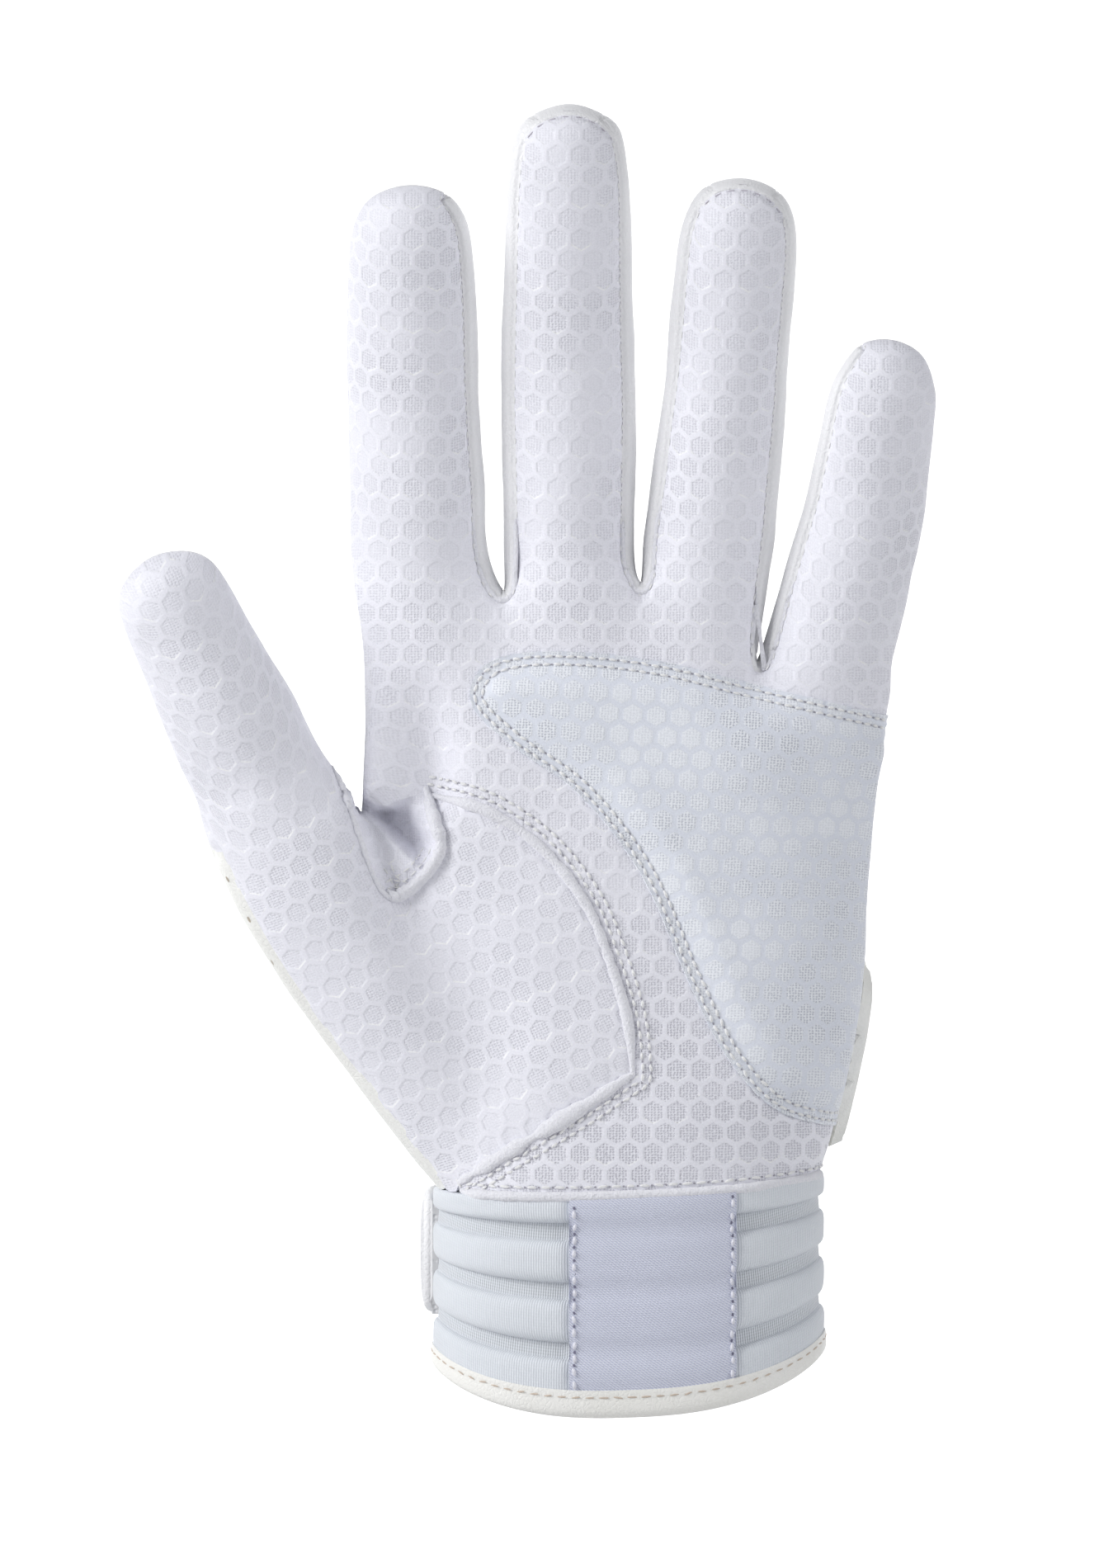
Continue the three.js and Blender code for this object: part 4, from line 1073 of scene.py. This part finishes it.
def leather_finish(name, colour, shade, roughness=0.45):
    finish, tree, shader = new_finish(name, roughness)
    at = on_object(tree)
    pores = between(tree, cell_distance(tree, at, 1300, feature="DISTANCE_TO_EDGE"), 0.02, 0.22)
    soft = add_step(tree, "ShaderNodeTexNoise", at, None, 160.0, 4.0)
    height = maths(tree, "MULTIPLY_ADD", soft, 1.2, pores)
    tone = add_step(tree, "ShaderNodeTexNoise", at, None, 55.0, 3.0)
    paint(tree, shader, between(tree, tone, 0.3, 0.75), shade, colour)
    raise_bumps(tree, shader, height, 0.00006, 0.6)
    return finish


white_leather = leather_finish("white_leather", (246, 246, 248), (240, 240, 242))
cream_leather = leather_finish("cream_leather", (247, 247, 244), (241, 241, 237), roughness=0.47)
vent_hole = hole_finish("vent_hole", (186, 176, 162))
VENT_HEIGHTS = (78.3, 71.7, 64.7)
vents = bmesh.new()
edge_points, edge_ups = on_palm(thumb_edge, 0.8 * MM)
for height in VENT_HEIGHTS:
    k = min(range(1, len(edge_points) - 1), key=lambda i: abs(edge_points[i].z / MM - height))
    along, up = (edge_points[k + 1] - edge_points[k - 1]).normalized(), edge_ups[k]
    side = up.cross(along).normalized()
    vent_at = Matrix((side.cross(up), side, up)).transposed().to_4x4()
    vent_at.translation = edge_points[k] + up * 0.03 * MM
    lay_hole(vents, vent_at, length=1.1 * MM, width=0.5 * MM, slot=1)
back_piece = cut_panel("hand_back_leather", "hand_back", [cream_leather, vent_hole], [vents])
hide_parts("back_panel")
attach(back_piece, "palm")
for k, finger in enumerate(FINGERS):
    name = finger["name"]
    for part in ("lower", "upper"):
        piece = cut_panel(f"{name}_{part}_back_leather", f"{name}_{part}_back", [white_leather])
        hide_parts(f"{name}_{part}_back")
        bend_with(piece)
        for wall in finger["walls"]:
            piece = cut_panel(f"{name}_{part}_{wall}_wall_leather", f"{name}_{part}_wall_{wall}",
                              [white_leather])
            nodes = [f"{name}_{part}_fourchette_{wall}_side"]
            if part == "lower" and wall == "little":
                nodes.append(f"{name}_{FINGERS[k + 1]['name']}_fourchette_fold")
            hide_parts(*nodes)
            bend_with(piece)
RIM_RISE = 13
for k in range(3):
    near, far = FINGERS[k]["name"], FINGERS[k + 1]["name"]
    runs = seam_runs(["palm_front", f"{near}_lower_front", f"{far}_lower_front"],
                     {f"{near}_wall_little", f"{far}_wall_thumb"})
    top = (CROTCHES[k][1] + RIM_RISE) * MM
    rim = sorted((place for run in runs for place, _, _ in run if place.z < top),
                 key=lambda place: place.x)
    lowest = min(range(len(rim)), key=lambda i: rim[i].z)
    for name, half in ((near, rim[:lowest + 4]), (far, rim[max(0, lowest - 3):])):
        line = smoothed(half, 2)
        ups = [skin_surface.find_nearest(place)[1] for place in line]
        welt = lay_welt(line, ups, width=1.3 * MM, height=0.6 * MM, ragged=0.3)
        piece = add_piece(f"{name}_crotch_rim_{k}", welt, [raw_edge])
        bend_with(piece)
thumb_back = cut_panel("thumb_stall_leather", "thumb_back", [white_leather])
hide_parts("thumb_upper_back")
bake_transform(thumb_back)

# Palm pad: a second piece of knit over a thin foam sheet, on the palm from the index root to the
# heel of the hand. It is sewn down along its edge with two rows of stitches and runs into the seam
# at the little finger's side.
PAD_LINE = ((42, 105), (33, 107), (20, 110), (6, 113.5), (-8, 115.2), (-19, 114.8), (-24.5, 112),
            (-25.5, 106.5), (-19, 100), (-8, 92), (2, 79), (9.5, 62), (15.5, 50), (23, 41.5),
            (31, 38.5), (38, 38))
PAD_RIM = 0.4 * MM
PAD_CROWN = 1.7 * MM
PAD_ROWS = (0.8 * MM, 2.1 * MM)
PAD_COVER = 0.3 * MM
# The fourth colour is the pad's painted highlight along the lower edges of the cells.
pad_knit = hexagon_finish("pad_knit", (229, 233, 243), (242, 245, 251), (140, 145, 168),
                          (240, 243, 250), contrast=0.5, rise=0.09, tilt=3.5)
pad_line = curve_through(PAD_LINE)
pad_outline = pad_line + [Vector((x, 0, z)) * MM for x, z in ((60, 38), (60, 105))]
pad_tree = nearest_on(pad_line)


def under_pad(face):
    middle = face.calc_center_median()
    return face.material_index == palm_front and inside(pad_outline, middle.x, middle.z)


pad = cut_out(under_pad)
for v in pad.verts:
    place, _, gap = pad_tree.find(flattened(v.co))
    if v.is_boundary and v.co.x < 0.035 and gap < SNAP_REACH:
        v.co = skin_surface.find_nearest(Vector((place.x, v.co.y, place.z)))[0]
bmesh.ops.subdivide_edges(pad, edges=pad.edges[:], cuts=1, use_grid_fill=True)
pad_facing = pad.verts.layers.float_vector["facing"]
for v in pad.verts:
    up = v[pad_facing].normalized()
    from_edge = pad_tree.find(flattened(v.co))[2]
    crown = ease(from_edge, 1.2 * MM, 7 * MM) * ease(-up.y, 0.1, 0.6)
    sewn = max(math.exp(-((from_edge - row) / (0.5 * MM)) ** 2) for row in PAD_ROWS)
    v.co += up * (PAD_RIM + PAD_CROWN * crown - 0.2 * MM * sewn)
face_outward(pad)
shade_smooth(pad)
pad_surface = BVHTree.FromBMesh(pad)
pad_rows = [lay_stitches(*on_palm(pad_line, row, pad_surface), **HEAVY) for row in PAD_ROWS]
give_thickness(pad, PAD_COVER)
add_rows(pad, pad_rows)
pad_piece = add_piece("palm_pad_cover", pad, [pad_knit, white_thread, needle_hole])
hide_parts("palm_pad", "palm_pad_foam")
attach(pad_piece, "palm")

# Side guard: a thick moulded overlay of cream leather on the little finger's edge of the hand, sewn
# on round its outline. From the palm side only its edge shows.
GUARD_LINE = ((0.4, 42), (0.4, 56), (2.5, 62), (7.5, 68), (12, 69), (14, 62), (14, 44), (11, 36.5),
              (5, 34.5), (1.5, 36.5))
GUARD_RISE = 2.3 * MM
GUARD_EDGE = 0.5 * MM
GUARD_THICK = 1.6 * MM
guard_line = curve_through(GUARD_LINE, closed=True)
guard_tree = nearest_on(guard_line)


def under_guard(face):
    middle = face.calc_center_median()
    return (face.material_index == hand_back and face.normal.x >= 0.1 and middle.x >= 0
            and inside(guard_line, middle.y, middle.z))


guard = cut_out(under_guard)
guard_facing = guard.verts.layers.float_vector["facing"]
for v in guard.verts:
    if v.is_boundary:
        place, _, gap = guard_tree.find(Vector((v.co.y, 0, v.co.z)))
        if gap < SNAP_REACH:
            v.co.y, v.co.z = place.x, place.z
bmesh.ops.subdivide_edges(guard, edges=guard.edges[:], cuts=1, use_grid_fill=True)
for v in guard.verts:
    from_edge = guard_tree.find(Vector((v.co.y, 0, v.co.z)))[2]
    rise = mix(GUARD_EDGE, GUARD_RISE, ease(from_edge, 0, 1.2 * MM))
    v.co += v[guard_facing].normalized() * rise
face_outward(guard)
shade_smooth(guard)
give_thickness(guard, GUARD_THICK)
guard_piece = add_piece("side_guard_leather", guard, [cream_leather])
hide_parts("side_guard")
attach(guard_piece, "palm")

# Cuff: a band of ribbed stretch knit over foam, sewn into four soft channels round the wrist and
# open in a slit at the back. Its top is tucked under the hem of the palm, and the label flattens it
# in front.
CUFF = dict(half_width=32, half_thick=20.5, wall=4.2, tuck=3, slit=14)
HEM = 29
RIM_DIP = 9
BINDING = dict(height=3.7, overhang=0.35)
ROLLS = ((2.3, 7.7), (9.8, 15.5), (17.7, 23.3), (25.6, 28.9))
VALLEY = dict(front=1.9, sides=1.0)
TUCK = -3.0
UNDER_LABEL = -0.75
MIDDLE_HEIGHT = 14
LABEL = dict(x=3.8, width=27)


def cuff_place(turn, z, out, dips=True):
    """A place on the cuff: turned from the middle of the palm side to the little finger's side."""
    turn = math.radians(turn)
    x = (CUFF["half_width"] + out) * signed_power(math.sin(turn), 2 / HAND_SQUARENESS)
    y = -(CUFF["half_thick"] + out) * signed_power(math.cos(turn), 2 / HAND_SQUARENESS)
    dip = max(0, math.cos(turn)) ** 1.5 * mix(RIM_DIP, HEM_DIP, z / HEM) if dips else 0
    return Vector((x, y, z - dip + PALM_ROWS[0]["slope"] * x)) * MM


def turn_of(x):
    return math.degrees(math.asin(signed_power(x / CUFF["half_width"], HAND_SQUARENESS / 2)))


def sweep(turns, section_at, place, sunk_at=None):
    """A band round the cuff: its closed section, as out and z, is carried from turn to turn.
    sunk_at marks heights that lie in a valley."""
    band = bmesh.new()
    band.loops.layers.uv.new("cloth")
    sunk = band.verts.layers.float.new("sunk")
    ring, below, run = None, None, 0
    for k, turn in enumerate(turns):
        section = section_at(turn)
        places = [place(turn, z, out) for out, z in section]
        if k:
            run += (place(turn, MIDDLE_HEIGHT, 0)
                    - place(turns[k - 1], MIDDLE_HEIGHT, 0)).length / MM
        rise, above = 0, []
        for i, (out, z) in enumerate(section):
            if i:
                rise += math.hypot(out - section[i - 1][0], z - section[i - 1][1])
            above.append((run, rise))
        if ring is None:
            ring = first = bmesh.ops.create_circle(band, segments=len(section), radius=1)["verts"]
            for v, start in zip(ring, places):
                v.co = start
        else:
            ring = raise_ring(band, ring, places, lambda side: 0, below, above)
        if sunk_at:
            for v, (_, z) in zip(ring, section):
                v[sunk] = sunk_at(z)
        below = above
    for end in (first, ring):
        bmesh.ops.triangulate(band, faces=[band.faces.new(end)])
    bmesh.ops.recalc_face_normals(band, faces=band.faces)
    shade_smooth(band)
    return band


def spread(low, high, steps):
    return [mix(low, high, step / steps) for step in range(steps + 1)]


def raised_between(value, low, high, before, after):
    """1 between low and high, 0 outside; each side eases from before its limit to after it."""
    return ease(value, low - before, low + after) * ease(-value, -high - before, -high + after)


slit_turn = turn_of(CUFF["slit"] / 2)
label_turns = [turn_of(LABEL["x"] + side * LABEL["width"] / 2) for side in (-1, 1)]
cuff_turns = spread(slit_turn - 180, 180 - slit_turn, 240)


def cuff_section(turn):
    """Each channel bulges between two flat sewn valleys, deepest under the channel above."""
    under_label = raised_between(turn, *label_turns, 3, 2)
    deep = mix(VALLEY["sides"], VALLEY["front"], max(0, math.cos(math.radians(turn))))
    section = []

    def add_point(out, z):
        section.append((mix(out, UNDER_LABEL + 0.25 * out, under_label), z))

    for k, (low, high) in enumerate(ROLLS):
        for step in range(15):
            share = 0.5 - 0.5 * math.cos(math.pi * step / 14)
            bulge = math.sqrt(1 - abs(2 * share - 1) ** 3.6)
            if k == 0 and share < 0.5 or k == 3 and share > 0.5:
                bulge = mix(0.8, 1, bulge)
            ripple = 0.12 * noise.noise(Vector((turn * 0.08, k * 7.3, share * 2)))
            out = (bulge - 1) * deep * (1 if share < 0.5 else 0.8) + ripple * bulge
            add_point(out, mix(low, high, share))
        if k < 3:
            for share in (0.2, 0.5, 0.8):
                add_point(-deep * mix(0.8, 1, share), mix(high, ROLLS[k + 1][0], share))
    top, inner = HEM + CUFF["tuck"], -CUFF["wall"] + 0.1
    return section + [(TUCK, ROLLS[3][1]), (TUCK, top), (inner, top), (inner, ROLLS[0][0])]


def waves(tree, value, pitch):
    return maths(tree, "SINE", maths(tree, "MULTIPLY", value, 2 * math.pi / pitch))


def ribbed_finish(name, colour, shade):
    """Fine upright ribs on the flat cloth, in the two tones of a stretch knit; in the sewn valleys
    the darker rib tone is darker still, as painted shade under the channels.
    """
    finish, tree, shader = new_finish(name, 0.6, sheen=0.35)
    parts = parts_of(tree, on_cloth(tree))
    ribs = waves(tree, parts["X"], 0.42)
    height = maths(tree, "MULTIPLY_ADD", waves(tree, parts["Y"], 0.4), 0.35, ribs)
    sunk = add_step(tree, "ShaderNodeAttribute", attribute_name="sunk").node.outputs["Fac"]
    rib = between(tree, height, -0.9, 0.6)
    padded = mix_colours(tree, rib, set_colour(shade), set_colour(colour))
    # Painted shade: the valleys' darker rib tone stands for the shade under each channel.
    painted_valley_shade = mix_colours(tree, rib, set_colour([c * 0.84 for c in shade]), set_colour(colour))
    tree.links.new(mix_colours(tree, sunk, padded, painted_valley_shade), shader.inputs["Base Color"])
    raise_bumps(tree, shader, height, 0.00006, 0.5)
    return finish


def in_valley(z):
    """1 in the sewn valleys between the channels, 0 on the channels; it marks where the cuff knit
    has painted shade.
    """
    return max(raised_between(z, below[1], above[0], 0.3, 0.3)
               for below, above in zip(ROLLS, ROLLS[1:]))


cuff_knit = ribbed_finish("cuff_knit", (231, 235, 241), (219, 224, 231))
cuff_band = sweep(cuff_turns, cuff_section, cuff_place, in_valley)
cuff = add_piece("cuff_channels", cuff_band, [cuff_knit])
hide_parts("cuff_band")
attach(cuff, "palm")

# Rim binding: a strip of cream leather folded round the cuff's lower edge and sewn through near its
# upper edge.
STITCH_HEIGHT = 2.75
binding_in, binding_out = -CUFF["wall"] - BINDING["overhang"], BINDING["overhang"]


def binding_section(turn):
    section = []
    middle, half = (binding_in + binding_out) / 2, (binding_out - binding_in) / 2
    for step in range(17):
        angle = math.pi * step / 16
        section.append((middle - half * signed_power(math.cos(angle), 0.55),
                        1.5 - 1.5 * signed_power(math.sin(angle), 0.8)))
    inner, top = -CUFF["wall"], BINDING["height"]
    return section + [(binding_out, 2.2), (binding_out - 0.14, 2.7), (binding_out - 0.04, 3.1),
                      (binding_out - 0.2, top), (-0.1, top - 0.1), (-0.1, 2.2), (inner, 2.2),
                      (inner, top - 0.1), (binding_in + 0.1, top), (binding_in, 2.9)]


def out_of_cuff(turn, z):
    return (cuff_place(turn, z, 5) - cuff_place(turn, z, 0)).normalized()


binding = sweep(cuff_turns, binding_section, cuff_place)
binding_path = [cuff_place(turn, STITCH_HEIGHT, binding_out - 0.17) for turn in cuff_turns]
binding_ups = [out_of_cuff(turn, STITCH_HEIGHT) for turn in cuff_turns]
beige_thread = thread_finish("beige_thread", (214, 198, 182))
binding_leather = leather_finish("binding_leather", (249, 248, 245), (243, 242, 237), roughness=0.5)
add_rows(binding, [lay_stitches(binding_path, binding_ups, pitch=2.3 * MM, length=1.75 * MM,
                                width=0.32 * MM)])
binding_piece = add_piece("rim_binding_leather", binding, [binding_leather, beige_thread])
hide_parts("rim_binding")
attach(binding_piece, "palm")

# Label: a bare woven patch of twill over the middle of the palm side, its ends tucked under the hem
# and the binding, and sewn down along both sides.


def twill_finish(name, colour, shade):
    finish, tree, shader = new_finish(name, 0.55, sheen=0.3)
    parts = parts_of(tree, on_cloth(tree))
    slant = maths(tree, "MULTIPLY_ADD", parts["Y"], 1.6, parts["X"])
    lines = waves(tree, slant, 0.62)
    height = maths(tree, "MULTIPLY_ADD", waves(tree, parts["Y"], 0.3), 0.4, lines)
    paint(tree, shader, between(tree, height, -1.1, 0.9), shade, colour)
    raise_bumps(tree, shader, height, 0.00007, 0.6)
    return finish


label_twill = twill_finish("label_twill", (230, 233, 246), (200, 204, 226))
LABEL_TOP, LABEL_LOW = 29.0, 3.0
label_thread = thread_finish("label_thread", (240, 240, 250))
label_hole = hole_finish("label_hole", (120, 118, 140))


def label_out(z):
    """How far out the label lies: it follows the rolls a little and dives under the binding."""
    over = max(math.sqrt(max(0, 1 - abs(2 * (z - low) / (high - low) - 1) ** 3.2))
               for low, high in ROLLS)
    return mix(-0.18, 0.25 + 0.4 * (over - 1), ease(z, 3.2, 5.5))


def label_section(turn):
    heights = spread(LABEL_LOW, LABEL_TOP, 40)
    return [(label_out(z), z) for z in heights] + [(label_out(z) - 0.3, z) for z in heights[::-1]]


label = sweep(spread(*label_turns, 40), label_section, cuff_place)
label_rows = []
for turn in (mix(*label_turns, 0.035), mix(*label_turns, 0.965)):
    line = [cuff_place(turn, z, label_out(z)) for z in spread(LABEL_LOW + 0.5, LABEL_TOP - 0.8, 60)]
    label_rows.append(lay_stitches(line, [out_of_cuff(turn, MIDDLE_HEIGHT)] * len(line),
                                   pitch=2.15 * MM, length=1.35 * MM, width=0.75 * MM,
                                   hole_slot=2))
add_rows(label, label_rows)
label_piece = add_piece("wrist_label_twill", label, [label_twill, label_thread, label_hole])
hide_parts("wrist_label")
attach(label_piece, "palm")

# Slit gusset: a sheet of the cuff's stretch knit behind the slit at the back of the wrist, sewn to
# the inside of the cuff on both sides, so that the wrist can open wider.
GUSSET = dict(margin=5, low=4.2, inner=-5.3, outer=-4.5)


def flat_place(turn, z, out):
    return cuff_place(turn, z, out, dips=False)


def upright_section(inner, outer, low, high):
    return [(inner, low), (outer, low), (outer, high), (inner, high)]


gusset_turn = turn_of(CUFF["slit"] / 2 + GUSSET["margin"])
gusset_section = upright_section(GUSSET["inner"], GUSSET["outer"], GUSSET["low"], HEM)
gusset = sweep(spread(180 - gusset_turn, 180 + gusset_turn, 24), lambda turn: gusset_section,
               flat_place)
gusset_piece = add_piece("slit_gusset_knit", gusset, [cuff_knit])
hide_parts("wrist_gusset")
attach(gusset_piece, "palm")

# Closure: a leather strap from the little finger's side of the wrist, with hook tape under its end,
# closes over the slit on to loop tape on the cuff. A rounded pull tab finishes the strap.
STRAP = dict(middle=17.6, height=19.6, thick=1.1, turns=(126, 246))
TAB = dict(turns=(246.8, 260), middle=18.6, height=21, inner=0.25)
ROOT_IN, HOOK_IN, STRAP_IN = 0.3, 1.1, 1.9
SOFT_EDGE = 0.4


def tape_finish(name, colour, scale):
    finish, tree, shader = new_finish(name, 0.9, sheen=0.3)
    nap = between(tree, cell_distance(tree, on_object(tree), scale, 0.4), 0.1, 0.6)
    paint(tree, shader, nap, colour, [c * 0.85 for c in colour])
    raise_bumps(tree, shader, nap, 0.0004, 0.8)
    return finish


hook_finish = tape_finish("hook_tape", (236, 236, 238), scale=1100)


def tape(name, node, body, turns, out, thick, height):
    low, high = STRAP["middle"] - height / 2, STRAP["middle"] + height / 2
    section = upright_section(out, out + thick, low, high)
    swept = sweep(spread(*turns, 40), lambda turn: section, flat_place)
    piece = add_piece(name, swept, [hook_finish])
    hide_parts(node)
    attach(piece, body)


tape("loop_tape_nap", "loop_tape", "palm", turns=(200, 266), out=-0.9, thick=1.1, height=19)
tape("hook_tape_strip", "hook_tape", "strap", turns=(208, 244), out=HOOK_IN, thick=0.5, height=15)


def strap_section(turn):
    """A flat band with softened edges, thinner where it is sewn on."""
    start, end = STRAP["turns"]
    share = (turn - start) / (end - start)
    inner = mix(ROOT_IN, STRAP_IN, ease(share, 0, 0.35))
    outer = inner + STRAP["thick"] * mix(0.5, 1, ease(share, 0, 0.06))
    low, high = STRAP["middle"] - STRAP["height"] / 2, STRAP["middle"] + STRAP["height"] / 2
    return [(inner, low + SOFT_EDGE), (inner + SOFT_EDGE / 2, low), (outer - SOFT_EDGE / 2, low),
            (outer, low + SOFT_EDGE), (outer, high - SOFT_EDGE), (outer - SOFT_EDGE / 2, high),
            (inner + SOFT_EDGE / 2, high), (inner, high - SOFT_EDGE)]


def tab_section(turn):
    """A pillow: thick in the middle, rounded to its edges and to its free end."""
    left = math.radians(TAB["turns"][1] - turn) * CUFF["half_thick"]
    full = math.sqrt(1 - (1 - min(1, (left + 0.3) / 5)) ** 2)
    half = TAB["height"] / 2 * mix(0.75, 1, full)
    outer = STRAP_IN + STRAP["thick"] * mix(0.4, 1, full)
    middle, thick = (TAB["inner"] + outer) / 2, (outer - TAB["inner"]) / 2
    return [(middle + thick * signed_power(math.cos(angle), 0.6),
             TAB["middle"] + half * signed_power(math.sin(angle), 0.75))
            for angle in (2 * math.pi * step / 32 for step in range(32))]


for name, node, turns, section in (
        ("wrist_strap_leather", "wrist_strap", STRAP["turns"], strap_section),
        ("pull_tab_leather", "pull_tab", TAB["turns"], tab_section)):
    piece = add_piece(name, sweep(spread(*turns, 60), section, flat_place), [white_leather])
    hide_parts(node)
    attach(piece, "strap")

# Studio: a pale sweep of paper behind and under the glove, which glows white in a wide round patch
# behind the glove and fades to plain paper before the floor under it, one large soft light from the
# upper left, a weaker one from the right, and an even white surround. The camera has a long lens at
# palm height.
GLOW_MIDDLE = (-0.012, 3.4, 0.1)
LIGHTS_AIM = Vector((0, 0, 0.09))
VIEW_HEIGHT = 0.2565
VIEW_DISTANCE = 2.2
SENSOR = 36
floor = bmesh.new()
bmesh.ops.create_grid(floor, x_segments=1, y_segments=1, size=4)
bmesh.ops.translate(floor, verts=floor.verts, vec=(0, -0.2, -0.08))
back_edges = [e for e in floor.edges if all(v.co.y > 1 for v in e.verts)]
wall = [part for part in bmesh.ops.extrude_edge_only(floor, edges=back_edges)["geom"]
        if isinstance(part, bmesh.types.BMVert)]
bmesh.ops.translate(floor, verts=wall, vec=(0, 0, 3))
corner = [e for e in floor.edges if len(e.link_faces) == 2]
bmesh.ops.bevel(floor, geom=corner, offset=0.6, segments=12, profile=0.5, affect="EDGES",
                material=-1)
shade_smooth(floor)
paper, paper_tree, paper_shader = new_finish("paper", 0.9)
paper_shader.inputs["Base Color"].default_value = (0.8, 0.8, 0.8, 1)
paper_shader.inputs["Emission Color"].default_value = (1, 1, 1, 1)
# The paper glows fully within 2.75 m of a point far behind the glove, fading out by 3.3 m.
from_spot = vectors(paper_tree, "SUBTRACT", on_object(paper_tree), GLOW_MIDDLE)
faded = between(paper_tree, vectors(paper_tree, "LENGTH", from_spot), 2.75, 3.3)
paper_glow = maths(paper_tree, "SUBTRACT", 1.0, faded)
paper_tree.links.new(paper_glow, paper_shader.inputs["Emission Strength"])
sheet_of_paper = add_piece("paper_sweep", floor, [paper])

scene = bpy.context.scene
scene.view_settings.view_transform = "Standard"
surround = bpy.data.worlds.new("surround")
surround.use_nodes = True
sky = surround.node_tree.nodes["Background"]
sky.inputs["Color"].default_value = (0.93, 0.95, 1, 1)
sky.inputs["Strength"].default_value = 0.27
scene.world = surround
for name, place, size, power in (
        ("key_light", (-1.36, -0.6, 0.85), 0.9, 21.4),
        ("fill_light", (1.35, -0.69, 0.7), 1.0, 7.8)):
    lamp = bpy.data.lights.new(name, "AREA")
    lamp.size = size
    lamp.energy = power
    light = bpy.data.objects.new(name, lamp)
    light.location = place
    light.rotation_euler = (LIGHTS_AIM - Vector(place)).to_track_quat("-Z", "Y").to_euler()
    bpy.context.collection.objects.link(light)
lens = bpy.data.cameras.new("camera")
lens.sensor_fit = "VERTICAL"
lens.sensor_height = SENSOR
lens.lens = SENSOR * VIEW_DISTANCE / VIEW_HEIGHT
camera = bpy.data.objects.new("camera", lens)
camera.location = (-0.0118, -VIEW_DISTANCE, 0.0938)
camera.rotation_euler = (math.pi / 2, 0, 0)
bpy.context.collection.objects.link(camera)
scene.camera = camera
